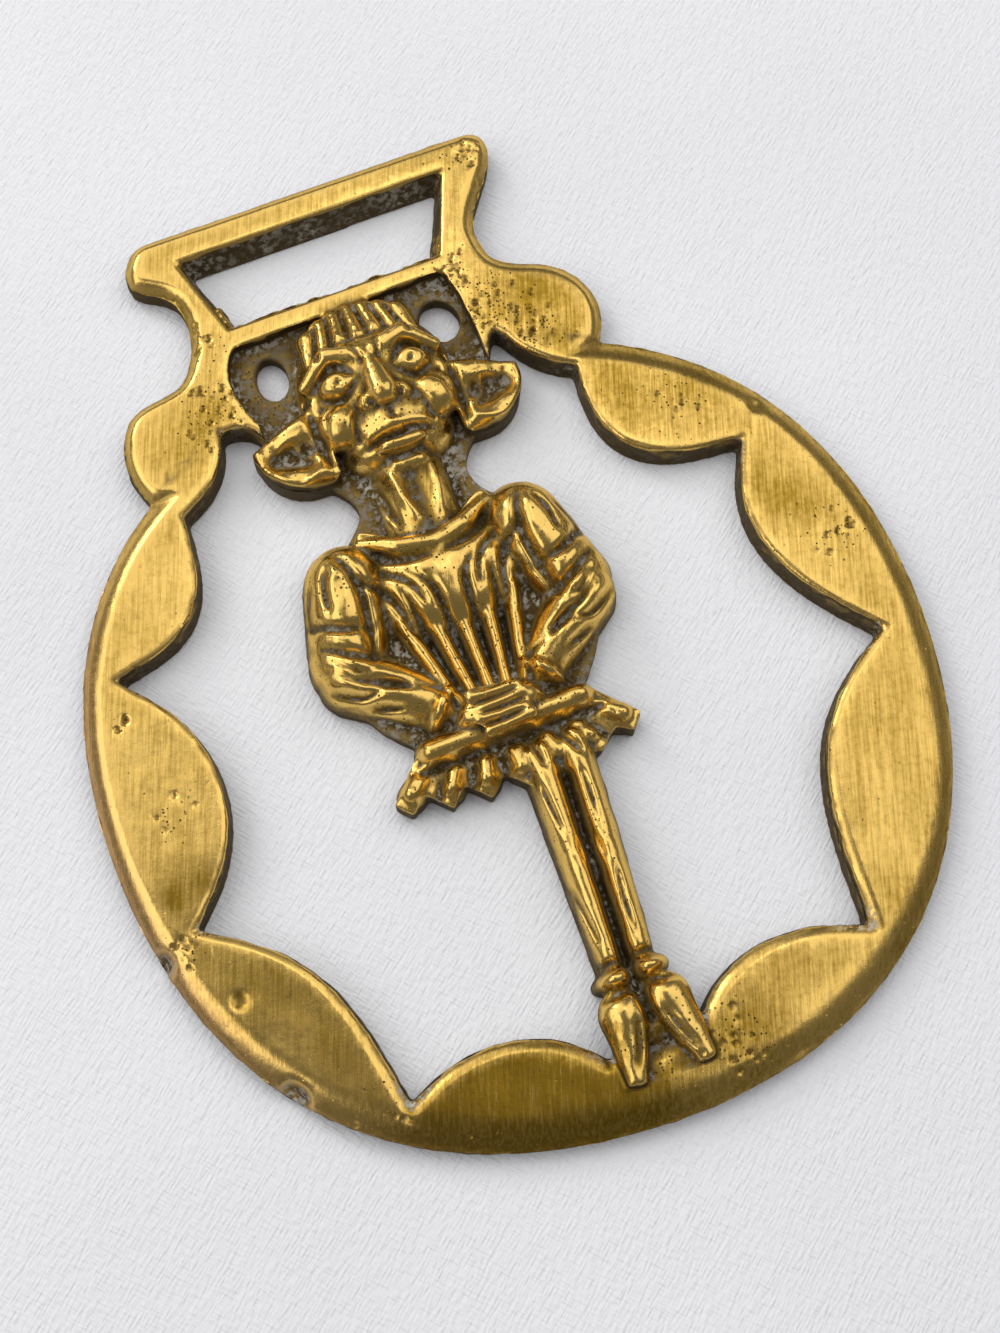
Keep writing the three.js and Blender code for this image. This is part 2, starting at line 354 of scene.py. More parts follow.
class Clay:
    """Rounded masses pressed together into one object, flat on the back."""

    hidden: Place = (-1.4, 12.0, 1.0)

    def __init__(self, name: str) -> None:
        """Starts the lump with a small block, which lies hidden inside the figure's breast.

        Args:
            name: The name of the lump.
        """
        deselect_all()
        bpy.ops.mesh.primitive_cube_add(size=1.0, location=self.hidden)
        self.object = bpy.context.object
        self.object.name = name
        bpy.ops.object.mode_set(mode="EDIT")
        bpy.ops.mesh.select_all(action="DESELECT")

    def _settle(self, lowest: float, rise: float = 1.0) -> None:
        """Stretches what is selected upwards, cuts it off flat at the back and lets it go.

        Args:
            lowest: How low it reaches before it is stretched.
            rise: How much higher it gets.
        """
        if rise != 1.0:
            bpy.ops.transform.resize(value=(1, 1, rise), center_override=(0, 0, 0))
        if lowest * rise < 0:
            bpy.ops.mesh.bisect(plane_co=(0, 0, 0), plane_no=(0, 0, 1), use_fill=True,
                                clear_inner=True)
        bpy.ops.mesh.select_all(action="DESELECT")

    def ball(self, x: float, y: float, z: float, rx: float, ry: float, rz: float,
             turn: float = 0.0) -> None:
        """Adds a rounded mass with three half sizes, turned about the front's normal."""
        bpy.ops.mesh.primitive_uv_sphere_add(
            segments=32, ring_count=16, radius=1.0, location=(x, y, z), scale=(rx, ry, rz),
            rotation=(0, 0, turn))
        self._settle(z - rz)

    def rod(self, start: Place, end: Place, start_radius: float, end_radius: float,
            rise: float = 1.0) -> None:
        """Adds a rod with round ends.

        Args:
            start: The middle of one end.
            end: The middle of the other.
            start_radius: The radius of the first end.
            end_radius: The radius of the second.
            rise: How many times it is stretched away from the back.
        """
        for place, radius in ((start, start_radius), (end, end_radius)):
            bpy.ops.mesh.primitive_uv_sphere_add(
                segments=24, ring_count=14, radius=radius, location=place)
            self._settle(place[2] - radius, rise)
        a, b = Vector(start), Vector(end)
        run = b - a
        bpy.ops.mesh.primitive_cone_add(
            vertices=24, radius1=start_radius, radius2=end_radius, depth=run.length,
            location=(a + b) / 2, rotation=run.to_track_quat("Z", "Y").to_euler())
        self._settle(min(start[2] - start_radius, end[2] - end_radius), rise)

    def limb(self, start: Point, end: Point, start_radius: float, end_radius: float,
             rise: float) -> None:
        """Adds a limb in relief, which stands upright on the back along its sides."""
        self.rod((*start, 0.0), (*end, 0.0), start_radius, end_radius, rise)

    def roll(self, places: Sequence[Place], radii: Sequence[float]) -> None:
        """Adds a roll that bends through its places, with one radius at each."""
        for i in range(len(places) - 1):
            self.rod(places[i], places[i + 1], radii[i], radii[i + 1])

    def finish(self) -> bpy.types.Object:
        """Returns the lump, in object mode."""
        bpy.ops.object.mode_set(mode="OBJECT")
        return self.object


@dataclass(frozen=True)
class Stroke:
    """A line of carving: cut in where depth is above nought, raised where it is below."""

    path: tuple[Point, ...]
    width: float
    depth: float
    tapers: bool = True

    def bend(self) -> np.ndarray:
        """Draws the path as a smooth line through its points.

        Returns:
            The points of the line, one row each.
        """
        given = np.array(self.path, float)
        if len(given) < 3:
            return given
        padded = np.vstack([2 * given[0] - given[1], given, 2 * given[-1] - given[-2]])
        line = []
        for i in range(1, len(padded) - 2):
            a, b, c, d = padded[i - 1:i + 3]
            for t in np.linspace(0, 1, 8, endpoint=False):
                line.append(0.5 * (2 * b + (c - a) * t + (2 * a - 5 * b + 4 * c - d) * t * t
                                   + (3 * b - a - 3 * c + d) * t**3))
        return np.array(line + [given[-1]])

    def cut(self, flat: np.ndarray) -> tuple[np.ndarray, np.ndarray]:
        """Works out how deep the stroke is at each place it reaches.

        Args:
            flat: Places across the front, one row each.

        Returns:
            The indices of the places reached, and the depth at each.
        """
        line = self.bend()
        reach = 2.4 * self.width
        low, high = line.min(0) - reach, line.max(0) + reach
        near = np.nonzero(np.all((flat > low) & (flat < high), axis=1))[0]
        if not len(near):
            return near, np.zeros(0)
        points = flat[near]
        if len(line) == 1:
            away = np.linalg.norm(points - line[0], axis=1)
            return near, self.depth * np.exp(-(away / self.width) ** 2)
        best = np.full(len(points), 1e9)
        along = np.zeros(len(points))
        for i in range(len(line) - 1):
            run = line[i + 1] - line[i]
            t = np.clip(((points - line[i]) @ run) / (run @ run + 1e-12), 0, 1)
            away = np.linalg.norm(points - line[i] - t[:, None] * run, axis=1)
            closer = away < best
            best[closer] = away[closer]
            along[closer] = (i + t[closer]) / (len(line) - 1)
        strength = np.sin(np.pi * np.clip(along, 0.02, 0.98)) ** 0.6 if self.tapers else 1.0
        return near, self.depth * strength * np.exp(-(best / self.width) ** 2)


def mirrored(x0: float, side: int, *path: Point) -> tuple[Point, ...]:
    """Returns a path given from a middle line, on one side of it."""
    return tuple((x0 + side * x, y) for x, y in path)


# ---- The outlines of the ring and the hanger -------------------------------------------------

RING_RADIUS = 39.6                                  # to the outer edge of the ring
# How the hand-filed edge leaves a true circle: waves around the ring, height, phase.
RING_WAVES = ((1, 0.28, -0.60), (2, 0.83, -0.65), (3, 0.41, 1.22), (4, 0.82, 2.87))

HANGER_START = (-19.0, 30.0)
HANGER_ARCS = (
    ((-24.5, 32.2),),
    ((-26.3, 34.5), (-26.3, 38.6), (-24.0, 41.2)),
    ((-22.2, 42.9), (-19.4, 42.0), (-17.8, 43.3)),
    ((-16.1, 45.0), (-15.2, 47.5), (-15.4, 50.2)),
    ((-15.7, 53.2), (-18.2, 53.2), (-19.3, 54.6)),
    ((-20.0, 56.4), (-18.3, 58.9), (-16.5, 58.9)),
    ((17.6, 59.1),),
    ((19.4, 59.0), (19.8, 57.6), (19.2, 55.8)),
    ((18.0, 53.1), (15.0, 51.0), (14.7, 48.3)),
    ((14.6, 45.0), (15.7, 44.1), (18.3, 43.2)),
    ((23.0, 41.6), (24.8, 36.6), (21.7, 32.6)),
    ((17.0, 30.0),),
)
OPENING_START = (0.0, -31.7)
OPENING_ARCS = (
    ((4.0, -31.0),),
    ((9.0, -25.2), (16.7, -25.8), (21.6, -28.5)),
    ((22.1, -14.3), (25.2, -8.9), (34.1, -4.4)),
    ((25.9, 4.7), (25.6, 11.2), (29.6, 17.4)),
    ((20.0, 17.5), (16.2, 22.0), (17.7, 30.5)),
    ((15.4, 31.6), (13.5, 33.8), (12.4, 36.4)),
    ((12.0, 35.6), (11.7, 34.8), (11.5, 34.0)),
    ((8.0, 29.0),), ((-9.0, 29.0),), ((-13.2, 34.0),),
    ((-13.4, 35.3), (-14.5, 36.0), (-15.7, 35.9)),
    ((-16.3, 33.1), (-18.1, 30.9), (-21.6, 29.3)),
    ((-21.8, 21.6), (-24.0, 17.3), (-32.3, 16.4)),
    ((-25.5, 10.2), (-24.2, -0.2), (-33.0, -7.6)),
    ((-24.9, -12.2), (-22.7, -16.9), (-21.2, -27.8)),
    ((-16.6, -25.2), (-8.4, -24.9), (-4.0, -31.0)),
)
SLOT = ((-12.9, 54.3), (-10.9, 47.8), (9.6, 47.9), (12.6, 54.6))
EYELETS = ((-9.6, 40.7, 1.6, 2.3, -0.1), (7.9, 40.7, 2.0, 2.3, 0.2))   # x, y, half sizes, turn
FIELD_START = (-12.2, 44.5)
FIELD_ARCS = (
    ((-14.2, 42.0), (-13.8, 39.5), (-12.4, 36.0)),
    ((-12.4, 33.0),), ((-9.0, 27.0),), ((8.0, 27.0),), ((11.0, 33.0),), ((10.8, 36.0),),
    ((10.7, 39.0), (10.9, 42.0), (9.9, 45.1)),
)
WEB_START = (-13.8, 44.0)
WEB_ARCS = (
    ((-14.2, 40.0),), ((-12.9, 35.4),), ((-12.2, 31.0),),
    ((-9.5, 28.6), (-6.6, 27.4), (-6.6, 24.6)),
    ((-6.6, 23.0), (-8.6, 22.4), (-10.0, 20.6)),
    ((7.4, 20.6),),
    ((5.6, 22.6), (4.8, 23.0), (4.8, 24.8)),
    ((4.8, 27.4), (8.0, 28.6), (10.9, 31.0)),
    ((11.0, 35.4),), ((11.6, 40.0),), ((11.2, 45.4),), ((-12.8, 45.4),),
)


def ring_outline(count: int = 240) -> np.ndarray:
    """Draws the outer edge of the ring.

    Args:
        count: How many points it has.

    Returns:
        The points, counter-clockwise.
    """
    angle = np.linspace(0, 2 * np.pi, count, endpoint=False)
    radius = np.full(count, RING_RADIUS)
    for waves, height, phase in RING_WAVES:
        radius += height * np.cos(waves * angle - phase)
    return np.c_[radius * np.cos(angle), radius * np.sin(angle)]


def oval(x: float, y: float, rx: float, ry: float, turn: float = 0.0,
         count: int = 32) -> np.ndarray:
    """Draws an oval.

    Args:
        x: The middle, across.
        y: The middle, up.
        rx: Half its width before it is turned.
        ry: Half its height before it is turned.
        turn: The angle it is turned by.
        count: How many points it has.

    Returns:
        The points, counter-clockwise.
    """
    angle = np.linspace(0, 2 * np.pi, count, endpoint=False)
    u, v = rx * np.cos(angle), ry * np.sin(angle)
    return np.c_[x + u * math.cos(turn) - v * math.sin(turn),
                 y + u * math.sin(turn) + v * math.cos(turn)]


@dataclass
class FrameWork:
    """The scalloped ring and the strap hanger above it."""

    draft: float = 0.3          # how far an inner wall leans out from back to front
    filed: float = 0.5          # how far a file opened the back of the opening further
    slot_lean: float = 1.2
    rim_width: float = 2.2      # worn slope along the outside of the ring
    rim_drop: float = 1.3
    hanger_width: float = 1.2
    hanger_drop: float = 1.1
    half_height: float = 34.0   # of the ring, over which the wear grows downwards
    half_width: float = 36.0    # of the ring, over which it grows to the right
    ring: np.ndarray = field(init=False)
    hanger: np.ndarray = field(init=False)
    opening: np.ndarray = field(init=False)
    slot: np.ndarray = field(init=False)
    sunk: np.ndarray = field(init=False)

    def __post_init__(self) -> None:
        """Draws the outlines once."""
        self.ring = ring_outline()
        self.hanger = counter_clockwise(bezier_chain(HANGER_START, HANGER_ARCS, 14))
        drawn = counter_clockwise(bezier_chain(OPENING_START, OPENING_ARCS, 20))
        self.opening = thinned(spread(drawn, self.filed))
        self.slot = counter_clockwise(np.array(SLOT, float))
        self.sunk = counter_clockwise(bezier_chain(FIELD_START, FIELD_ARCS, 10))

    def _cutter(self, name: str, outline: np.ndarray, lean: float) -> bpy.types.Object:
        """Makes a cutter whose walls lean out by `lean` from the back to the front."""
        top = spread(outline, lean * (PLATE + 2 * UNDER) / (PLATE + UNDER))
        return prism(name, outline, -UNDER, PLATE + UNDER, top)

    def build(self) -> bpy.types.Object:
        """Makes the ring with its hanger, opening, slot and sunk field.

        Returns:
            The solid.
        """
        body = prism("ring", self.ring, 0.0, PLATE)
        combine(body, prism("hanger", self.hanger, 0.0, PLATE), "UNION")
        combine(body, self._cutter("opening", self.opening, self.draft), "DIFFERENCE")
        combine(body, self._cutter("slot", self.slot, self.slot_lean), "DIFFERENCE")
        combine(body, prism("field", self.sunk, BACKING, PLATE + ABOVE), "DIFFERENCE")
        for eyelet in EYELETS:
            combine(body, prism("eyelet", oval(*eyelet), -1.0, PLATE), "DIFFERENCE")
        if np.ptp(coordinates(body)[:, 0]) < 0.99 * np.ptp(self.ring[:, 0]):
            raise RuntimeError("the ring was lost while it was being cut")
        LOG.info("frame cut, %d faces", len(body.data.polygons))
        return body

    def ceiling(self, flat: np.ndarray) -> np.ndarray:
        """Works out how high the plate's front is at each place.

        Args:
            flat: Places across the front, one row each.

        Returns:
            The height of the front, lower along the outer edges.
        """
        heights = np.full(len(flat), -1e9)
        for outline, width, drop in ((self.ring, self.rim_width, self.rim_drop),
                                     (self.hanger, self.hanger_width, self.hanger_drop)):
            low = np.clip(-flat[:, 1] / self.half_height, 0, 1)
            around = np.clip(flat[:, 0] / self.half_width, -1, 1)
            reach = width * (1.0 + 0.12 * around + 0.7 * low)
            away = distance_to(flat, outline, 2 * width)
            away[~inside(flat, outline)] *= -1
            part = np.clip(away / reach, 0, 1)
            rolled = PLATE - drop * (1 - part) ** (1.5 + 0.9 * low)
            heights = np.maximum(heights, np.where(away > -0.3, rolled, -1e9))
        return np.where(heights < 0, PLATE, heights)


# ---- The goblin ------------------------------------------------------------------------------


@dataclass
class Goblin:
    """The belted goblin who stands in the opening, with hands laid together."""

    head_x: float = -0.5
    body_x: float = -1.4
    leg_x: float = 2.0
    leg_lean: float = -1.5

    @property
    def knee_x(self) -> float:
        """The middle of the knees, across."""
        return self.leg_x + self.leg_lean * 0.45

    @property
    def foot_x(self) -> float:
        """The middle of the feet, across."""
        return self.leg_x + self.leg_lean

    def build(self) -> list[bpy.types.Object]:
        """Makes the solids of the figure and of the web behind it.

        Returns:
            The solids, which overlap.
        """
        shapes = (self._head, self._hands, self._tunic, self._skirt, self._legs,
                  *(partial(self._arm, side=side) for side in BOTH))
        solids = []
        for shape in shapes:
            lump = Clay("lump")
            shape(lump)
            solids.append(lump.finish())
        LOG.info("goblin modelled, %d lumps", len(solids))
        return [*solids, self._web(), self._within_arms(), self._skirt_cloth(),
                *(self._ear(side) for side in BOTH)]

    def _web(self) -> bpy.types.Object:
        """Makes the thin web behind the head, with its two eyelets.

        Returns:
            The solid.
        """
        web = prism("web", counter_clockwise(bezier_chain(WEB_START, WEB_ARCS, 10)),
                    0.0, BACKING)
        for eyelet in EYELETS:
            combine(web, prism("eyelet", oval(*eyelet), -1.0, BACKING + 1.0), "DIFFERENCE")
        return web

    def _within_arms(self) -> bpy.types.Object:
        """Makes the thin web between the arms."""
        return prism("inner web", oval(self.body_x, 9.5, 12.6, 11.5), 0.0, BACKING)

    def _skirt_cloth(self) -> bpy.types.Object:
        """Makes the cloth of the skirt, with a hem cut in points.

        Returns:
            The solid.
        """
        x, count = self.body_x, 7
        hem = []
        for i in range(count):
            u = 2 * i / (count - 1) - 1
            hem.append((x + u * 10.9, -6.4 + 1.3 * u * u))
            if i < count - 1:
                middle = 2 * (i + 0.5) / (count - 1) - 1
                hem.append((x + middle * 11.2, -4.6 + 1.1 * u * u))
        outline = [(x - 8.2, 0.6), (x - 12.2, -3.6), *hem, (x + 12.2, -3.6), (x + 8.2, 0.6)]
        return prism("skirt", counter_clockwise(np.array(outline)), 0.0, 2.8)

    def ear_outline(self, side: int) -> np.ndarray:
        """Draws the edge of a pointed ear.

        Args:
            side: Which side, -1 or 1.

        Returns:
            The points, counter-clockwise.
        """
        root, *rim = mirrored(
            self.head_x, side, (6.4, 36.0), (8.6, 35.6), (11.4, 34.2), (13.7, 33.3),
            (13.6, 29.6), (10.6, 26.8), (6.4, 28.0))
        return counter_clockwise(bezier_chain(root, (rim[:3], rim[3:]), 12))

    def _ear(self, side: int) -> bpy.types.Object:
        """Makes an ear; its hollow is carved later."""
        return prism("ear", self.ear_outline(side), 0.0, EAR_HEIGHT)

    def _head(self, lump: Clay) -> None:
        """Adds skull, jaw, cheeks, eyes, brows, nose, lip, hair and neck.

        Args:
            lump: The lump that they are added to.
        """
        x = self.head_x
        lump.ball(x, 36.4, 0, 8.3, 8.1, 6.5)
        lump.ball(x, 31.0, 0, 6.4, 5.4, 6.3)
        for side in BOTH:
            lump.ball(x + side * 4.5, 32.4, 3.7, 2.7, 2.5, 2.5)
            lump.ball(x + side * 3.7, 36.1, 4.9, 1.9, 1.6, 1.5)
            lump.roll([(x + side * 1.0, 38.2, 5.9), (x + side * 3.9, 39.2, 5.6),
                       (x + side * 6.8, 37.4, 4.2)], [1.0, 1.0, 0.6])
            lump.ball(x + side * 1.7, 33.2, 5.6, 1.1, 1.0, 1.2)
        lump.rod((x, 38.2, 5.4), (x, 33.6, 6.3), 1.0, 1.5)
        lump.roll([(x - 2.8, 29.9, 5.3), (x, 30.4, 5.9), (x + 2.8, 29.9, 5.3)],
                  [0.45, 0.7, 0.45])
        lump.ball(x, 28.5, 5.2, 2.5, 0.85, 1.0)
        lump.ball(x, 26.9, 3.6, 2.1, 1.4, 1.7)
        for lock in range(-3, 4):
            fan = lock * lock
            lump.rod((x + lock * 1.5, 43.6 - 0.16 * fan, 3.0),
                     (x + lock * 1.85, 41.3 - 0.24 * fan, 4.9 - 0.1 * fan), 1.4, 0.5)
        lump.limb((x - 0.3, 28), (x - 0.7, 20), 4.1, 4.3, 1.1)

    def _arm(self, lump: Clay, side: int) -> None:
        """Adds shoulder, sleeve, forearm and cuff of one side.

        Args:
            lump: The lump that they are added to.
            side: Which side, -1 or 1.
        """
        near = partial(mirrored, self.body_x, side)
        lump.limb(*near((8.9, 17.8), (11.3, 10.8)), 4.4, 4.0, 1.48)
        lump.limb(*near((11.4, 9.2), (4.4, 3.0)), 3.6, 2.5, 1.75)
        lump.ball(self.body_x + side * 4.9, 3.3, 0, 1.3, 2.9, 5.4, side * 0.75)

    def _hands(self, lump: Clay) -> None:
        """Adds two hands laid one in the other, with their fingers.

        Args:
            lump: The lump that they are added to.
        """
        x = self.body_x
        for side in BOTH:
            lump.ball(x + side * 2.4, 1.2, 0, 2.9, 2.2, 5.7, side * 0.35)
        for finger in range(4):
            y = 2.4 - finger * 1.1
            side = 1 if finger % 2 else -1
            lump.rod((x + side * 2.2, y + 0.4, 5.2), (x - side * 1.8, y, 5.3), 0.75, 0.6)

    def _tunic(self, lump: Clay) -> None:
        """Adds breast, collar and the pleats that fall to the belt.

        Args:
            lump: The lump that they are added to.
        """
        x = self.body_x
        lump.ball(x, 15.4, 0, 9.2, 6.8, 5.6)
        for side in BOTH:
            lump.roll([(x + side * 6.0, 21.0, 3.6), (x + side * 3.2, 19.0, 4.6), (x, 18.2, 5.0)],
                      [0.9, 0.9, 0.8])
        for pleat in range(-2, 3):
            lump.limb((x + pleat * 2.7, 12.0), (x + pleat * 1.5, 2.0), 1.2, 0.9, 3.4)

    def _skirt(self, lump: Clay) -> None:
        """Adds the belt and the flutes of the skirt.

        Args:
            lump: The lump that they are added to.
        """
        x = self.body_x
        lump.limb((x - 7.4, -0.3), (x + 7.4, -0.3), 1.7, 1.7, 2.7)
        for i in range(7):
            u = i / 3 - 1
            lump.limb((x + u * 7.2, -0.6), (x + u * 10.4, -4.4 + 1.2 * u * u), 1.2, 1.5, 2.6)

    def _legs(self, lump: Clay) -> None:
        """Adds two legs held together in hose, and their pointed shoes.

        Args:
            lump: The lump that they are added to.
        """
        knee, foot = self.knee_x, self.foot_x
        lump.ball(foot, -29.0, 0, 2.6, 4.8, 3.9)
        for side in BOTH:
            lump.limb((self.leg_x + side * 1.7, -4), (knee + side * 1.55, -14), 1.95, 1.8, 2.3)
            lump.limb((knee + side * 1.55, -14), (foot + side * 1.4, -25), 1.8, 1.5, 2.4)
            lump.ball(foot + side * 1.6, -25.5, 0, 2.2, 1.2, 5.2)
            lump.rod((foot + side * 2.0, -28.6, 2.8), (foot + side * 3.3, -34.3, 3.4), 2.4, 1.0)

    def strokes(self) -> list[Stroke]:
        """Lists the carving on the figure.

        Returns:
            The strokes: grooves, and ridges where the depth is below nought.
        """
        x, body = self.head_x, self.body_x
        knee, foot = self.knee_x, self.foot_x
        found = [
            Stroke(((x - 3.7, 29.0), (x - 1.6, 29.4), (x, 29.2), (x + 1.6, 29.4),
                    (x + 3.7, 29.0)), 0.36, 0.95),
            Stroke(((x, 32.0), (x, 30.9)), 0.35, 0.3, False),
            Stroke(((x - 2.2, 27.5), (x, 27.2), (x + 2.2, 27.5)), 0.4, 0.4),
            Stroke(((x - 3.6, 40.6), (x, 40.1), (x + 3.6, 40.6)), 0.3, 0.35),
            Stroke(((x - 0.3, 26.0), (x - 0.6, 20.4)), 1.1, 0.6, False),
        ]
        for side in BOTH:
            near, low = partial(mirrored, x, side), partial(mirrored, body, side)
            shin, shoe = partial(mirrored, knee, side), partial(mirrored, foot, side)
            found += [
                Stroke(near((1.7, 36.0), (3.7, 37.9), (6.0, 36.3)), 0.32, 0.55),
                Stroke(near((1.7, 35.8), (3.7, 34.5), (5.8, 35.7)), 0.32, 0.55),
                Stroke(near((3.7, 36.1)), 0.45, 0.35, False),
                Stroke(near((1.5, 32.9)), 0.4, 0.55, False),
                Stroke(near((2.6, 33.6), (3.6, 31.4), (3.7, 29.6)), 0.32, 0.4),
                Stroke(near((9.2, 31.4), (11.4, 31.9)), 1.5, 1.7, False),
                Stroke(near((8.2, 33.2), (10.4, 33.0), (12.2, 32.4)), 0.32, -0.4),
                Stroke(near((7.6, 30.4), (9.2, 31.4), (9.4, 32.8)), 0.34, -0.6),
                Stroke(near((6.9, 28.5), (7.2, 32.0), (7.4, 35.6)), 0.45, 0.7),
                Stroke(near((2.2, 26.4), (1.9, 23.6), (0.9, 20.6)), 0.5, -0.55),
                Stroke(near((3.6, 26.4), (3.5, 23.6), (3.0, 21.0)), 0.45, 0.6),
                Stroke(near((1.2, 39.6), (1.0, 38.2), (0.8, 36.8)), 0.3, 0.4),
                Stroke(near((4.6, 34.3), (5.8, 33.4), (6.4, 31.6)), 0.3, 0.35),
                Stroke(near((7.4, 28.9), (10.6, 28.3), (13.0, 31.0), (13.2, 32.8)), 0.4, -0.5),
                Stroke(low((8.6, 17.2), (5.6, 14.6), (4.6, 10.2)), 0.4, 0.65),
                Stroke(low((6.2, 17.6), (3.6, 15.4), (2.6, 12.6)), 0.36, 0.55),
                Stroke(low((3.2, 16.2), (1.8, 14.2), (1.2, 11.6)), 0.32, 0.45),
                Stroke(low((12.0, 18.6), (13.2, 16.2), (13.4, 13.6)), 0.36, 0.5),
                Stroke(low((10.2, 19.4), (11.2, 17.2), (11.4, 14.8)), 0.34, 0.55),
                Stroke(low((12.9, 10.6), (11.2, 8.9), (9.8, 8.2)), 0.32, 0.55),
                Stroke(low((11.4, 5.6), (9.6, 4.9), (7.8, 4.2)), 0.34, 0.6),
                Stroke(low((10.0, 7.9), (8.2, 6.6), (6.8, 5.6)), 0.32, 0.55),
                Stroke(low((9.4, 20.6), (8.1, 16.5), (8.6, 12.0), (9.4, 8.6)), 0.5, 0.9),
                Stroke(low((14.6, 8.4), (11.6, 6.6), (9.3, 6.4)), 0.4, 0.6),
                Stroke(low((6.1, 5.6), (4.4, 4.8), (3.7, 2.4), (4.8, 0.8)), 0.32, 0.5),
                Stroke(low((7.4, 21.6), (4.4, 20.6), (1.8, 19.8)), 0.35, 0.45),
                Stroke(low((6.6, 19.6), (3.6, 17.6), (0.4, 16.9)), 0.35, 0.5),
                Stroke(low((8.6, 1.1), (4.6, 1.7)), 0.3, 0.35, False),
                Stroke(low((8.9, -1.9), (4.4, -2.0), (0.0, -2.0)), 0.32, 0.6, False),
                Stroke(shin((2.0, -6.8), (1.9, -9.0), (1.7, -11.8)), 0.24, 0.45),
                Stroke(shoe((2.3, -16.2), (1.9, -19.0), (1.7, -22.4)), 0.24, 0.45),
                Stroke(shin((0.9, -12.6), (1.0, -15.2)), 0.2, 0.3),
                Stroke(shoe((0.2, -24.3), (1.8, -24.0), (3.7, -24.4)), 0.3, 0.45),
                Stroke(shoe((0.2, -27.0), (1.8, -26.9), (3.9, -27.2)), 0.32, 0.5),
                Stroke(shoe((1.1, -28.6), (2.0, -31.6), (3.0, -33.6)), 0.3, 0.3),
            ]
            for fold in range(3):
                found.append(Stroke(low((14.4 - 0.5 * fold, 15.4 - 2.9 * fold),
                                        (11.2 - 0.7 * fold, 13.2 - 3.0 * fold),
                                        (8.2 - 0.9 * fold, 12.4 - 3.2 * fold)), 0.5, 0.75))
        for finger in range(5):
            y = 3.0 - finger * 1.1
            found.append(Stroke(((body - 2.2, y + 0.1), (body, y), (body + 2.2, y + 0.1)),
                                0.26, 0.4))
        for pleat in range(4):
            u = pleat - 1.5
            found.append(Stroke(((body + u * 2.9, 15.2), (body + u * 2.3, 9.0),
                                 (body + u * 1.6, 4.2)), 0.42, 0.8))
        for lock in range(-3, 3):
            u = lock + 0.5
            found.append(Stroke(((x + u * 1.5, 44.2 - 0.16 * u * u),
                                 (x + u * 1.9, 40.6 - 0.24 * u * u)), 0.3, 0.5, False))
        for i in range(6):
            u = (i + 0.5) / 3 - 1
            found.append(Stroke(((body + u * 8.0, -2.4), (body + u * 10.9, -5.6)), 0.42, 0.7))
        found.append(Stroke(((self.leg_x, -7.0), (knee, -14.0), (foot, -25.0), (foot, -29.6)),
                            0.5, 1.2, False))
        return found


# ---- Carving and wear ------------------------------------------------------------------------


@dataclass(frozen=True)
class Patch:
    """A round area of the front where something happens."""

    x: float
    y: float
    size: float
    amount: float

    def weight(self, flat: np.ndarray) -> np.ndarray:
        """Returns how strongly the patch is felt at each place."""
        away = (flat[:, 0] - self.x) ** 2 + (flat[:, 1] - self.y) ** 2
        return self.amount * np.exp(-away / self.size**2)


# Knocks on the front.  The first three, on the outer edge, are filled with grey deposit.
DENTS = (
    Patch(-38.0, -9.4, 0.9, 1.5), Patch(-31.2, -24.2, 0.9, 1.4), Patch(-30.6, -25.0, 0.8, 1.2),
    Patch(-32.5, -15.0, 0.6, 0.4),
    Patch(33.0, 20.5, 0.7, 0.25), Patch(12.0, -38.4, 0.9, 0.4), Patch(-19.0, 57.5, 0.7, 0.3),
)
# Clusters of gas pits.
POROUS = (
    Patch(12.5, 40.0, 3.4, 1.0), Patch(15.5, 35.8, 2.6, 0.8), Patch(-16.0, 38.5, 2.8, 0.9),
    Patch(35.0, 6.0, 2.2, 0.6), Patch(-34.5, 12.5, 0.9, 0.5), Patch(-33.0, 3.0, 2.0, 0.4),
    Patch(-35.5, -9.0, 1.8, 0.6), Patch(6.5, -34.5, 2.6, 0.8), Patch(16.5, 56.5, 2.2, 0.7),
    Patch(10.6, 44.6, 1.5, 1.0), Patch(-24.5, -29.0, 2.6, 0.4), Patch(26.5, 24.0, 2.4, 0.5),
    Patch(-14.5, 46.0, 2.0, 0.6),
)
# Where the brown film is thicker. The large patches along the bottom are partly real film and
# partly a painted dark reflection.
STAINS_AND_DARK_REFLECTION = (
    Patch(-25.0, -22.5, 3.2, 0.5), Patch(9.0, -34.0, 4.0, 0.5), Patch(24.0, -30.5, 3.5, 0.5),
    Patch(-6.0, -36.5, 9.0, 1.0), Patch(-19.0, -33.0, 6.0, 0.6), Patch(31.0, 12.0, 3.0, 0.25),
    Patch(-34.0, -3.0, 2.6, 0.25), Patch(16.0, 40.0, 4.0, 0.3), Patch(-17.0, 37.0, 3.4, 0.35),
    Patch(30.0, -22.0, 3.0, 0.25), Patch(25.5, 23.0, 8.5, 0.45), Patch(33.0, 8.5, 7.0, 0.4),
    Patch(16.0, 36.0, 7.5, 0.35), Patch(-31.6, -4.2, 1.3, 0.8),
    Patch(-35.0, -4.4, 1.2, 0.8), Patch(-12.5, -33.0, 8.0, 0.7),
)
FILLED_DENTS = DENTS[:3]
FOOTING = (0.5, -31.0, 4.6, 4.4)        # the oval of plate that the shoes stand on
# Dried polish on the walls, in the corners of the opening.
CRUSTS = tuple(Patch(x, y, 1.9, 3.2) for x, y in (
    (34.1, -4.4), (29.6, 17.4), (17.7, 30.5), (-21.6, 29.3), (-32.3, 16.4), (-33.0, -7.6),
    (-21.2, -27.8), (-4.0, -31.0), (4.0, -31.0), (21.6, -28.5), (12.4, 36.4), (-15.7, 35.9)))


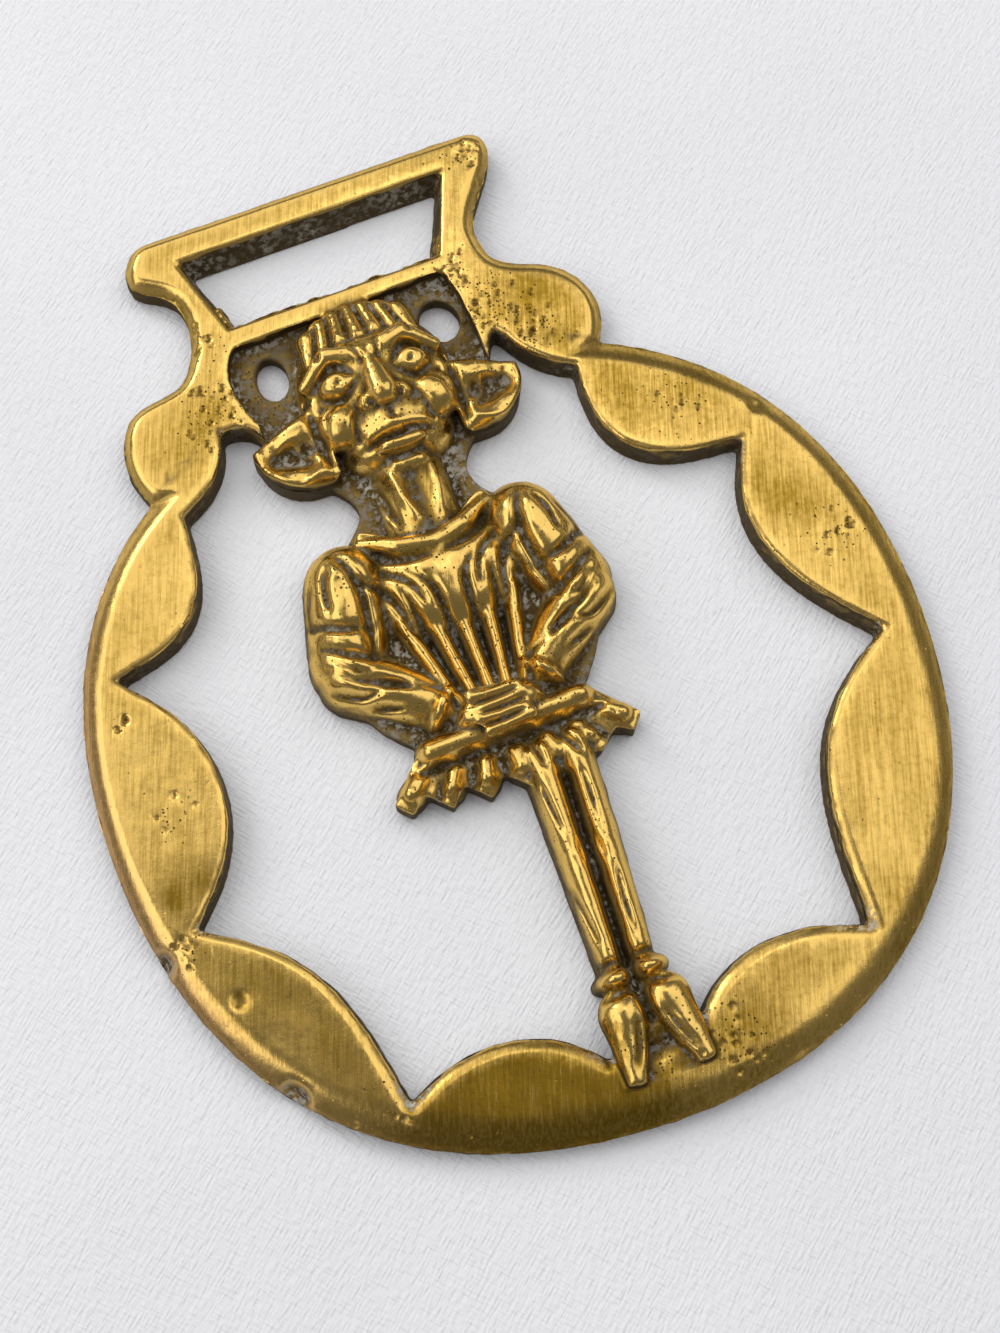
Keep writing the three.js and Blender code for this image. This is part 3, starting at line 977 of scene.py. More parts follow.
class Surface:
    """The casting's mesh while its wear is worked in."""

    def __init__(self, obj: bpy.types.Object) -> None:
        """Reads the places and the edges of the mesh.

        Args:
            obj: The object whose mesh it is.
        """
        self.object = obj
        self.places = coordinates(obj)
        edges = np.empty(len(obj.data.edges) * 2, np.int32)
        obj.data.edges.foreach_get("vertices", edges)
        self.edges = edges.reshape(-1, 2)
        self.count = np.maximum(
            np.bincount(self.edges.ravel(), minlength=len(self.places)), 1)

    def normals(self) -> np.ndarray:
        """Works out the direction that the surface faces.

        Returns:
            A direction for each vertex, one row each.
        """
        place_vertices(self.object, self.places)
        facing = np.empty(len(self.places) * 3, np.float32)
        self.object.data.vertex_normals.foreach_get("vector", facing)
        return facing.reshape(-1, 3).astype(float)

    def blend(self, values: np.ndarray, rounds: int) -> np.ndarray:
        """Averages a value with that of the neighbours, several times.

        Args:
            values: One number or one row a vertex.
            rounds: How many times.

        Returns:
            The smoother values, in the same form.
        """
        table = values.reshape(len(values), -1).copy()
        a, b = self.edges.T
        for _ in range(rounds):
            for column in range(table.shape[1]):
                value = table[:, column]
                total = np.bincount(a, value[b], len(value)) + np.bincount(b, value[a], len(value))
                table[:, column] = 0.5 * value + 0.5 * total / self.count
        return table.reshape(values.shape)


class Wear:
    """Carves the figure, rounds what hands and harness rubbed and dents the rest."""

    bite: float = 1.15          # how much deeper than drawn the graver went
    ear_rim: float = 1.3        # width of the rounded rim of an ear
    back_lip: float = 0.5       # width of the edge that the back lies on
    edge_line: float = 0.45     # width of the line of dirt along an edge
    arris_width: Point = (0.45, 0.7)    # of worn arrises: at the top, and more at the bottom
    arris_drop: Point = (0.10, 0.42)    # how far they are worn down, in the same way
    flash: tuple[float, ...] = (13.0, 46.3, 49.5, 2.9)  # half width, lowest, highest, front
    crusted: Place = (13.6, 52.5, 56.6)     # half width, lowest, highest of a crusted wall
    most_pits: int = 26         # pits in a cluster of full strength
    pit_widths: Point = (0.14, 0.25)
    pit_depths: Point = (0.12, 0.40)

    def __init__(self, surface: Surface, frame: FrameWork, goblin: Goblin) -> None:
        """Keeps what the wear goes over, and the random waves.

        Args:
            surface: The mesh that is worked.
            frame: The ring and the hanger.
            goblin: The figure.
        """
        self.surface = surface
        self.frame = frame
        self.goblin = goblin
        self.grain = Grain(7)
        self.seed = np.random.default_rng(23)
        self.hollow = np.zeros(0)
        self.recess = np.zeros(0)

    @property
    def places(self) -> np.ndarray:
        """The places of the vertices, one row each."""
        return self.surface.places

    def waves(self, *layers: tuple[float, float], base: float = 0.0) -> np.ndarray:
        """Adds layers of waves to a base, each layer given by its height and its length."""
        return sum((height * self.grain(self.places, length) for height, length in layers), base)

    def roll_edges(self) -> None:
        """Lets the outer edges of the ring and the hanger slope off."""
        flat = self.places[:, :2]
        ceiling = self.frame.ceiling(flat)
        self.places[:, 2] = np.where(
            ceiling < PLATE - 1e-6, np.minimum(self.places[:, 2], ceiling), self.places[:, 2])

    def soften_arrises(self) -> None:
        """Wears the front edge of the openings, most along the lower crescents."""
        p = self.places
        flat = p[:, :2]
        front = p[:, 2] > PLATE - 1.2
        for outline, lean in ((self.frame.opening, self.frame.draft),
                              (self.frame.slot, self.frame.slot_lean)):
            edge = spread(outline, lean)
            away = np.full(len(p), 9.0)
            away[front] = distance_to(flat[front], edge, 1.4)
            low = np.clip(-flat[:, 1] / 30, 0, 1)
            width, drop = (least + more * low for least, more
                           in (self.arris_width, self.arris_drop))
            worn = np.clip(1 - away / width, 0, 1)
            p[:, 2] -= drop * worn**1.5 * (p[:, 2] < PLATE + 0.4)

    def round_ears(self) -> None:
        """Rounds the rims of the ears."""
        p = self.places
        for side in BOTH:
            away = distance_to(p[:, :2], self.goblin.ear_outline(side), self.ear_rim)
            outer = side * (p[:, 0] - self.goblin.head_x) > 6.8
            high = (p[:, 2] > EAR_HEIGHT - 1.5) & (p[:, 2] < EAR_HEIGHT + 0.3) & outer
            p[:, 2] -= high * np.clip(1 - away / self.ear_rim, 0, 1) ** 2

    def carve(self) -> None:
        """Cuts the figure's carving."""
        facing = np.clip(self.surface.normals()[:, 2] * 1.6 + 0.25, 0, 1)
        for stroke in self.goblin.strokes():
            near, depth = stroke.cut(self.places[:, :2])
            reach = facing[near] * (self.places[near, 2] > 0.9)
            self.places[near, 2] -= self.bite * depth * reach

    def roughen(self) -> None:
        """Gives the hand-finished front its unevenness and the walls their cast skin."""
        p, facing = self.places, self.surface.normals()
        up = np.clip(facing[:, 2], 0, 1) * (p[:, 2] > 0.6)
        p[:, 2] += up * self.waves((0.07, 8.0), (0.035, 3.1), (0.016, 1.1))
        figure = self.within(p[:, :2])
        p[:, 2] += up * figure * self.waves((0.045, 1.3), (0.04, 0.65))
        wall = np.clip(1 - np.abs(facing[:, 2]) * 1.4, 0, 1) * np.clip(p[:, 2] / 0.6, 0, 1)
        rough = self.waves((0.10, 1.7), (0.06, 0.8))
        across, lowest, highest, front = self.flash
        flash = ((np.abs(p[:, 0]) < across) & (p[:, 1] > lowest) & (p[:, 1] < highest)
                 & (p[:, 2] < front))
        rough += flash * np.maximum(self.waves((0.7, 1.3), (0.4, 0.7)) + 0.2, 0)
        p[:, :2] += facing[:, :2] * (wall * rough)[:, None]

    def dent(self) -> None:
        """Knocks the dents in and opens the pits that the casting came out with."""
        p = self.places
        for dent in DENTS:
            p[:, 2] -= dent.weight(p[:, :2]) * np.clip((p[:, 2] - 0.8) / 0.8, 0, 1)
        front = p[:, 2] > 1.4
        for patch in POROUS:
            for _ in range(int(self.most_pits * patch.amount**2)):
                x = patch.x + self.seed.normal(0, 0.62 * patch.size)
                y = patch.y + self.seed.normal(0, 0.62 * patch.size)
                width = self.seed.uniform(*self.pit_widths)
                near = np.nonzero(front & (np.abs(p[:, 0] - x) < 2 * width)
                                  & (np.abs(p[:, 1] - y) < 2 * width))[0]
                away = (p[near, 0] - x) ** 2 + (p[near, 1] - y) ** 2
                p[near, 2] -= self.seed.uniform(*self.pit_depths) * np.exp(-away / width**2)

    def relieve_back(self) -> None:
        """Leaves the back a little uneven inside the edge that it lies on."""
        p = self.places
        back = p[:, 2] < 0.25
        depth = self.waves((0.07, 5.0), (0.04, 1.6), base=0.10)
        away = np.zeros(len(p))
        flat = p[back, :2]
        near = np.full(len(flat), 9.0)
        for outline in (self.frame.ring, self.frame.opening, self.frame.slot, self.frame.hanger):
            near = np.minimum(near, distance_to(flat, outline, 2.2))
        away[back] = np.clip((near - self.back_lip) / 1.5, 0, 1)
        p[:, 2] = np.where(back, away * np.maximum(depth, 0), p[:, 2])

    def measure(self) -> None:
        """Measures how hollow the surface is, closely and widely; below nought on ridges."""
        facing = self.surface.normals()
        smooth = self.surface.blend(self.places, 24)
        self.hollow = ((smooth - self.places) * facing).sum(1)
        height = self.places[:, 2].copy()
        self.recess = self.surface.blend(height, 130) - height

    def masks(self) -> dict[str, np.ndarray]:
        """Works out where the brass is hollow, porous, chalky and rubbed pink.

        Returns:
            One value a vertex, by the name that the finish reads. Chalk may be over 1.
        """
        p = self.places
        flat = p[:, :2]
        figure = self.within(flat) * (p[:, 2] > 0.4)
        mottle = 0.5 + 0.5 * self.grain(p, 2.3)
        groove = np.clip((self.hollow - 0.015) / np.where(figure > 0.5, 0.08, 0.25), 0, 1)
        sheltered = np.clip((self.recess + 0.03) / 0.24, 0, 1) * figure
        floor = np.clip((2.75 - p[:, 2]) / 0.6, 0, 1) * figure
        hollow = np.maximum(groove, sheltered * (0.45 + 0.5 * mottle))
        hollow = np.maximum(hollow, self._edge_dirt() * (1 - figure))
        deep = np.clip((groove - 0.35) * 1.8, 0, 1) * figure
        low_down = 0.45 + 0.55 * (flat[:, 1] < 31)
        chalk = ((0.5 * deep + 0.45 * sheltered) * mottle + self._deposit(mottle)
                 + floor * (0.25 + 0.7 * mottle) * low_down)
        cast = figure * (0.5 + 0.5 * self.grain(p, 5.0))
        porous = sum(patch.weight(flat) for patch in POROUS) + 0.6 * np.clip(cast, 0, 1)
        # the film mask is real brown film, with a painted dark reflection along the bottom
        return {"film_and_dark_reflection": self._film_and_dark_reflection(figure, np.maximum(hollow * figure, sheltered)),
                "hollow": np.maximum(hollow, 0.92 * floor),
                "worn": np.clip(-self.hollow / 0.13, 0, 1), "porous": np.clip(porous, 0, 1),
                "chalk": chalk, "rosy": self._rosy(), "figure": figure}

    def _edge_dirt(self) -> np.ndarray:
        """Works out the ragged line of dirt along the edges of the ring.

        Returns:
            How dirty each vertex is.
        """
        p = self.places
        opening = spread(self.frame.opening, self.frame.draft)
        away = np.minimum(distance_to(p[:, :2], opening, 1.0),
                          distance_to(p[:, :2], self.frame.ring, 1.0) + 0.15)
        ragged = np.clip(self.waves((1.1, 1.0), (0.6, 4.0), base=0.35), 0, 1)
        return np.clip(1.25 - away / self.edge_line, 0, 0.85) * ragged

    def _deposit(self, mottle: np.ndarray) -> np.ndarray:
        """Works out the dried polish in dents, on the slot's upper wall and in corners.

        Args:
            mottle: How much of it is left at each vertex.

        Returns:
            How thick it is at each vertex.
        """
        x, y, height = self.places.T
        flat = self.places[:, :2]
        half, lowest, highest = self.crusted
        slot_wall = (np.abs(x) < half) & (y > lowest) & (y < highest) & (height < PLATE - 0.4)
        crusts = sum(crust.weight(flat) for crust in CRUSTS) * (height < PLATE - 0.2)
        dents = sum(1.6 * dent.weight(flat) for dent in FILLED_DENTS)
        return dents + (2.6 * slot_wall + crusts) * mottle

    def _film_and_dark_reflection(self, figure: np.ndarray, dirty: np.ndarray) -> np.ndarray:
        """Works out how thick the brown film is, with the painted dark reflection along the bottom
        added in.

        Args:
            figure: Where the figure is.
            dirty: Where dirt gathers.

        Returns:
            The film at each vertex, from 0 to 1.
        """
        rubbed = np.clip((-self.recess - 0.02) / 0.30, 0, 1) * figure
        film_and_dark_reflection = (self.waves((0.34, 11.0), (0.26, 3.7), base=0.30) + 0.8 * dirty - 0.5 * rubbed
                # the patches thicken the real film, and along the bottom they also paint a dark
                # reflection
                + sum(spot.weight(self.places[:, :2]) for spot in STAINS_AND_DARK_REFLECTION))
        return np.clip(film_and_dark_reflection, 0, 1)

    def _rosy(self) -> np.ndarray:
        """Works out where the outer edge has turned pink, which is on the left.

        Returns:
            How pink each vertex is.
        """
        x, y = self.places[:, :2].T
        angle = np.degrees(np.arctan2(y, x))
        away = distance_to(self.places[:, :2], self.frame.ring, 2.4)
        rim = np.clip(1 - away / 2.4, 0, 1)
        return rim * np.exp(-((np.abs(angle) - 172) / 34) ** 2) * (y < 30)

    def within(self, flat: np.ndarray) -> np.ndarray:
        """Tells which places belong to the figure.

        Args:
            flat: Places across the front, one row each.

        Returns:
            1 for each place on the figure, 0 for each on the plate.
        """
        opening = spread(self.frame.opening, self.frame.draft + 0.1)
        return (inside(flat, opening) | inside(flat, self.frame.sunk)
                | inside(flat, oval(*FOOTING))).astype(float)

    def work(self) -> None:
        """Works all the wear in, in the order in which it came about."""
        self.roll_edges()
        self.round_ears()
        self.surface.places = self.surface.blend(self.places, 2)
        self.carve()
        self.surface.places = self.surface.blend(self.places, 1)
        self.roughen()
        self.soften_arrises()
        self.dent()
        self.relieve_back()
        self.measure()


@dataclass
class Casting:
    """The whole brass: ring, hanger and goblin in one piece."""

    finish: bpy.types.Material
    voxel: float = 0.21
    most_triangles: int = 194_000
    crease: float = 50.0        # angle past which an edge is shaded sharp, in degrees
    frame: FrameWork = field(default_factory=FrameWork)
    goblin: Goblin = field(default_factory=Goblin)

    def build(self) -> bpy.types.Object:
        """Models, carves, wears and places the casting.

        Returns:
            The finished object.
        """
        body = self.frame.build()
        body = self._fuse([body, *self.goblin.build()])
        wear = Wear(Surface(body), self.frame, self.goblin)
        wear.work()
        place_vertices(body, wear.places)
        self._paint(body, wear.masks())
        self._thin_out(body)
        self._place(body)
        return body

    def _fuse(self, parts: Iterable[bpy.types.Object]) -> bpy.types.Object:
        """Joins overlapping solids and gives them one even skin.

        Args:
            parts: The solids.

        Returns:
            The one object.
        """
        parts = list(parts)
        deselect_all()
        for part in parts:
            part.select_set(True)
        bpy.context.view_layer.objects.active = parts[0]
        bpy.ops.object.join()
        body = bpy.context.object
        modifier = body.modifiers.new("skin", "REMESH")
        modifier.mode = "VOXEL"
        modifier.voxel_size = self.voxel
        bpy.ops.object.modifier_apply(modifier=modifier.name)
        return body

    def _paint(self, body: bpy.types.Object, masks: dict[str, np.ndarray]) -> None:
        """Stores the masks on the mesh for the finish to read.

        Args:
            body: The casting.
            masks: One value a vertex, by name.
        """
        for name, values in masks.items():
            attribute = body.data.attributes.new(name, "FLOAT", "POINT")
            attribute.data.foreach_set("value", values.astype(np.float32))

    def _thin_out(self, body: bpy.types.Object) -> None:
        """Collapses edges where the surface is smooth, down to the triangles allowed.

        Args:
            body: The casting.
        """
        make_active(body)
        before = self._triangles(body)
        modifier = body.modifiers.new("thin", "DECIMATE")
        modifier.ratio = min(1.0, self.most_triangles / before)
        bpy.ops.object.modifier_apply(modifier=modifier.name)
        bpy.ops.object.shade_smooth_by_angle(angle=math.radians(self.crease))
        LOG.info("triangles: %d before, %d kept", before, self._triangles(body))

    def _triangles(self, body: bpy.types.Object) -> int:
        """Returns how many triangles the casting's faces come to."""
        return sum(len(face.vertices) - 2 for face in body.data.polygons)

    def _place(self, body: bpy.types.Object) -> None:
        """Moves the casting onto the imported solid, in metres.

        Args:
            body: The casting, in millimetres.
        """
        low, high = (Vector(corner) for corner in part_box(NODE))
        places = coordinates(body)
        size = places.max(0) - places.min(0)
        middle = (places.max(0) + places.min(0)) / 2
        fit = min(1.0, (high.x - low.x) / MM / size[0], (high.y - low.y) / MM / size[1])
        shrink = Matrix.Diagonal((fit * MM, fit * MM, MM, 1.0))
        seat = Matrix.Translation(((low.x + high.x) / 2, (low.y + high.y) / 2, low.z))
        body.data.transform(seat @ shrink @ Matrix.Translation((-middle[0], -middle[1], 0.0)))
        body.location = (0, 0, 0)
        body.name = "horse_brass"
        body.data.name = "horse_brass"
        body.data.materials.clear()
        body.data.materials.append(self.finish)
        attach(body, "root")
        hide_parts(NODE)
        LOG.info("casting placed, spans %s mm before it is fitted by %.4f",
                 np.round(size, 2), fit)


# ---- The finish ------------------------------------------------------------------------------


@dataclass(frozen=True)
class BrassLook:
    """The colours and the sheen of worn cast brass."""

    bright: Place = (0.83, 0.55, 0.15)      # where harness and cloth keep it clean
    dull: Place = (0.31, 0.182, 0.017)      # the thin brown film on most of the front, and the painted dark reflection along the bottom
    dark: Place = (0.048, 0.032, 0.014)     # oxide on the walls and in the grooves
    pink: Place = (0.62, 0.36, 0.20)        # where zinc has leached from the rim
    chalk: Place = (0.50, 0.47, 0.40)       # dried polish
    glint: Place = (0.92, 0.80, 0.56)       # what grazing light comes back as
    shine: float = 0.16                     # of oxide and dried polish, which are no metal
    roughness: float = 0.20


@dataclass(frozen=True)
class FloorLook:
    """The colours of the pale cloth below."""

    light: Place = (0.93, 0.94, 0.975)
    shade: Place = (0.89, 0.90, 0.935)
    weave_angle: float = 0.9
    roughness: float = 0.9
    shine: float = 0.0


class Nodes:
    """A small hand for laying out a node tree."""

    def __init__(self, tree: bpy.types.NodeTree) -> None:
        """Keeps the tree and starts it empty."""
        self.tree = tree
        tree.nodes.clear()

    def add(self, kind: str, inputs: dict | None = None, **settings: object) -> bpy.types.Node:
        """Adds a node.

        Args:
            kind: The node's type, without the leading ShaderNode.
            inputs: Values or sockets, by the input's name or number.
            settings: Properties of the node.

        Returns:
            The node.
        """
        name = kind if kind.startswith("Node") else "ShaderNode" + kind
        node = self.tree.nodes.new(name)
        for key, value in settings.items():
            setattr(node, key, value)
        for key, value in (inputs or {}).items():
            self.feed(node.inputs[key], value)
        return node

    def feed(self, socket: bpy.types.NodeSocket, value: object) -> None:
        """Gives an input its value.

        Args:
            socket: The input.
            value: A number, a colour or another node's output.
        """
        if isinstance(value, bpy.types.NodeSocket):
            self.tree.links.new(value, socket)
        elif socket.type == "RGBA":
            socket.default_value = (*value, 1.0)
        else:
            socket.default_value = value

    def sum(self, *values: object) -> bpy.types.NodeSocket:
        """Returns the sum of values or sockets."""
        return reduce(partial(self.math, "ADD"), values)

    def math(self, operation: str, a: object, b: object = 0.0,
             clamp: bool = False) -> bpy.types.NodeSocket:
        """Returns the outcome of a sum on one or two values."""
        node = self.add("Math", {0: a, 1: b}, operation=operation, use_clamp=clamp)
        return node.outputs[0]

    def ramp(self, value: object, low: float, high: float, start: float = 0.0,
             end: float = 1.0) -> bpy.types.NodeSocket:
        """Returns a value carried from one range to another and held inside it."""
        node = self.add("MapRange", {"Value": value, "From Min": low, "From Max": high,
                                     "To Min": start, "To Max": end})
        return node.outputs["Result"]

    def mix(self, factor: object, a: object, b: object,
            blend: str = "MIX") -> bpy.types.NodeSocket:
        """Mixes two colours.

        Args:
            factor: The share of the second.
            a: The first colour.
            b: The second.
            blend: The way they are mixed.

        Returns:
            The mixed colour.
        """
        node = self.add("Mix", None, data_type="RGBA", blend_type=blend)
        for number, value in ((0, factor), (6, a), (7, b)):
            self.feed(node.inputs[number], value)
        return node.outputs[2]

    def noise(self, vector: object, scale: float, detail: float = 3.0,
              roughness: float = 0.55) -> bpy.types.NodeSocket:
        """Returns a noise value read at a place."""
        node = self.add("TexNoise", {"Vector": vector, "Scale": scale, "Detail": detail,
                                     "Roughness": roughness})
        return node.outputs["Fac"]

    def attribute(self, name: str) -> bpy.types.NodeSocket:
        """Returns a mask stored on the mesh."""
        return self.add("Attribute", None, attribute_name=name).outputs["Fac"]

    def group(self, tree: bpy.types.NodeTree, **inputs: object) -> bpy.types.Node:
        """Adds a node group.

        Args:
            tree: The group.
            inputs: Values or sockets, by the input's name.

        Returns:
            The node.
        """
        node = self.tree.nodes.new("ShaderNodeGroup")
        node.node_tree = tree
        for key, value in inputs.items():
            self.feed(node.inputs[key], value)
        return node

    def turned(self, place: bpy.types.NodeSocket, angle: float) -> bpy.types.NodeSocket:
        """Returns a place turned about the front's normal."""
        return self.add("VectorRotate", {"Vector": place, "Angle": angle},
                        rotation_type="Z_AXIS").outputs[0]

    def stretched(self, place: bpy.types.NodeSocket, scale: Place) -> bpy.types.NodeSocket:
        """Returns a place on stretched axes."""
        return self.add("Mapping", {"Vector": place, "Scale": scale}).outputs[0]

    def surface(self, height: object, depth: float, strength: float, inputs: dict) -> None:
        """Closes a material with a shader and a bump.

        Args:
            height: The height of the bump.
            depth: How deep it is, in metres.
            strength: How strongly it shows.
            inputs: The shader's other inputs, by name.
        """
        bump = self.add("Bump", {"Height": height, "Distance": depth, "Strength": strength})
        shader = self.add("BsdfPrincipled", {**inputs, "Normal": bump.outputs["Normal"]})
        self.add("OutputMaterial", {"Surface": shader.outputs[0]})


def new_material(name: str) -> tuple[bpy.types.Material, Nodes, bpy.types.NodeSocket]:
    """Starts a material.

    Args:
        name: The name of the material.

    Returns:
        The material, the hand for its tree, and places on the object in millimetres.
    """
    material = bpy.data.materials.new(name)
    material.use_nodes = True
    nodes = Nodes(material.node_tree)
    place = nodes.add("VectorMath", {0: nodes.add("TexCoord").outputs["Object"],
                                     "Scale": 1 / MM}, operation="SCALE").outputs[0]
    return material, nodes, place


EMERY_ANGLE = 0.36      # the way the emery ran, in radians clockwise from straight up


def new_group(name: str, inputs: dict[str, str],
              outputs: dict[str, str]) -> tuple[Nodes, bpy.types.Node, bpy.types.Node]:
    """Starts a node group.

    Args:
        name: The name of the group.
        inputs: The type of each input, by name.
        outputs: The type of each output, by name.

    Returns:
        The hand for its tree, its input node and its output node.
    """
    tree = bpy.data.node_groups.new(name, "ShaderNodeTree")
    for way, sockets in (("INPUT", inputs), ("OUTPUT", outputs)):
        for socket, kind in sockets.items():
            tree.interface.new_socket(socket, in_out=way, socket_type="NodeSocket" + kind)
    nodes = Nodes(tree)
    return nodes, nodes.add("NodeGroupInput"), nodes.add("NodeGroupOutput")


def brushed_group() -> bpy.types.NodeTree:
    """Makes the fine scratches left by emery along one direction.

    Returns:
        A group that turns places in millimetres into a scratch height.
    """
    nodes, given, out = new_group("brushed", {"Place": "Vector"}, {"Height": "Float"})
    along = nodes.stretched(nodes.turned(given.outputs["Place"], EMERY_ANGLE),
                            (1.0, 0.045, 1.0))
    fine = nodes.noise(along, 3.8, 2.0, 0.75)
    nodes.tree.links.new(fine, out.inputs["Height"])
    return nodes.tree


def pitted_group() -> bpy.types.NodeTree:
    """Makes the gas pits of the casting.

    Returns:
        A group that turns places in millimetres, a porous mask and a noise that makes the
        pits ragged into a pit mask.
    """
    nodes, given, out = new_group("pitted", {"Place": "Vector", "Porous": "Float",
                                             "Ragged": "Float"}, {"Pits": "Float"})
    place = given.outputs["Place"]
    cells = nodes.add("TexVoronoi", {"Vector": place, "Scale": 2.8})
    ragged = nodes.math("ADD", cells.outputs["Distance"],
                        nodes.ramp(given.outputs["Ragged"], 0.3, 0.7, -0.16, 0.16))
    pit = nodes.ramp(ragged, 0.14, 0.28, 1.0, 0.0)
    lot = nodes.add("SeparateXYZ", {0: cells.outputs["Color"]}).outputs[0]
    drawn = nodes.ramp(nodes.math("SUBTRACT", given.outputs["Porous"], lot), -0.02, 0.06)
    total = nodes.math("MULTIPLY", pit, drawn)
    nodes.tree.links.new(total, out.inputs["Pits"])
    return nodes.tree


def brass_material(look: BrassLook) -> bpy.types.Material:
    """Makes worn cast brass, brown in the hollows and chalky where polish dried.

    Args:
        look: Its colours and sheen.

    Returns:
        The material.
    """
    material, nodes, place = new_material("worn brass")
    facing = nodes.add("SeparateXYZ", {0: nodes.add("NewGeometry").outputs["Normal"]}).outputs[2]
    hollow, worn = nodes.attribute("hollow"), nodes.attribute("worn")
    brushed = nodes.group(brushed_group(), Place=place).outputs[0]
    speckled = nodes.noise(place, 1.5, 3.0, 0.68)
    pits = nodes.group(pitted_group(), Place=place, Porous=nodes.attribute("porous"),
                       Ragged=speckled).outputs[0]

    film_and_dark_reflection = nodes.sum(nodes.attribute("film_and_dark_reflection"), nodes.ramp(speckled, 0.45, 0.80, 0.0, 0.35),
                     nodes.ramp(brushed, 0.35, 0.65, -0.26, 0.26))
    film_and_dark_reflection = nodes.math("SUBTRACT", film_and_dark_reflection, nodes.math("MULTIPLY", worn, 0.8), True)
    steep = nodes.ramp(nodes.attribute("figure"), 0.0, 1.0, 0.72, 0.42)
    wall = nodes.ramp(nodes.math("SUBTRACT", facing, steep), 0.02, -0.30)
    wall = nodes.math("MULTIPLY", wall, nodes.ramp(facing, -0.9, -0.5, 0.45, 0.97))
    grime = nodes.math("MAXIMUM", wall,
                       nodes.math("MULTIPLY", hollow, nodes.ramp(speckled, 0.3, 0.6, 0.75, 1.0)))
    grime = nodes.math("MAXIMUM", grime, nodes.math("MULTIPLY", pits, 0.9))
    dusty = nodes.math("MULTIPLY", nodes.attribute("chalk"), nodes.ramp(speckled, 0.46, 0.60))
    dusty = nodes.math("MULTIPLY", dusty, nodes.ramp(facing, 0.15, 0.65, 0.12, 1.0))

    # the film mask mixes in the dull brown: real film, and along the bottom a painted dark
    # reflection
    colour = nodes.mix(film_and_dark_reflection, look.bright, look.dull)
    colour = nodes.mix(nodes.math("MULTIPLY", nodes.attribute("rosy"), 0.72), colour, look.pink)
    colour = nodes.mix(grime, colour, look.dark)
    colour = nodes.mix(nodes.math("MULTIPLY", dusty, 0.8), colour, look.chalk)
    metal = nodes.math("SUBTRACT", 1.0, nodes.math("ADD", nodes.math("MULTIPLY", dusty, 0.9),
                                                   nodes.math("MULTIPLY", grime, 0.85), True))
    roughness = nodes.sum(nodes.ramp(speckled, 0.3, 0.7, look.roughness, look.roughness + 0.08),
                          nodes.math("MULTIPLY", grime, 0.40),
                          nodes.math("MULTIPLY", dusty, 0.4), nodes.math("MULTIPLY", film_and_dark_reflection, 0.06))
    height = nodes.sum(nodes.math("MULTIPLY", brushed, 0.013),
                       nodes.math("MULTIPLY", speckled, 0.014),
                       nodes.math("MULTIPLY", pits, -0.22))
    nodes.surface(height, MM, 0.9, {
        "Base Color": colour, "Metallic": metal, "Roughness": roughness,
        "Specular IOR Level": look.shine, "Specular Tint": look.glint})
    return material


def cloth_material(look: FloorLook) -> bpy.types.Material:
    """Makes the plain pale cloth of the floor.

    Args:
        look: Its colours.

    Returns:
        The material.
    """
    material, nodes, place = new_material("pale cloth")
    colour = nodes.mix(nodes.ramp(nodes.noise(place, 0.02, 0.0), 0.3, 0.7),
                       look.light, look.shade)
    turned = nodes.turned(place, look.weave_angle)
    along = nodes.stretched(turned, (1.0, 0.2, 1.0))
    across = nodes.stretched(turned, (0.2, 1.0, 1.0))
    weave = nodes.sum(nodes.noise(along, 4.5, 0.0), nodes.noise(across, 4.5, 0.0),
                      nodes.math("MULTIPLY", nodes.noise(place, 0.07, 0.0), 4.0))
    nodes.surface(weave, 0.13 * MM, 0.7, {
        "Base Color": colour, "Roughness": look.roughness, "Specular IOR Level": look.shine})
    return material


# ---- The stage -------------------------------------------------------------------------------


@dataclass(frozen=True)
class Screen:
    """A pale screen that lights the brass from one side."""

    name: str
    towards: Point              # the side it hangs on, across the floor
    tilt: float                 # from straight up to its middle, in degrees
    width: float                # in metres
    height: float
    radiance: float
    mirrored: bool = True       # whether the brass mirrors it


SCREENS = (
    Screen("far screen", (-0.17, 0.985), 37.0, 0.62, 0.84, 1.00),
    Screen("right screen", (0.98, 0.20), 33.5, 0.9, 0.88, 1.05),
    Screen("window", (-0.45, 0.89), 60.0, 0.26, 0.34, 4.5),
    Screen("left screen", (-0.98, 0.20), 48.5, 0.9, 0.66, 1.45),
    Screen("fill", (0.2, 1.0), 12.0, 1.0, 1.0, 0.46, mirrored=False),
)


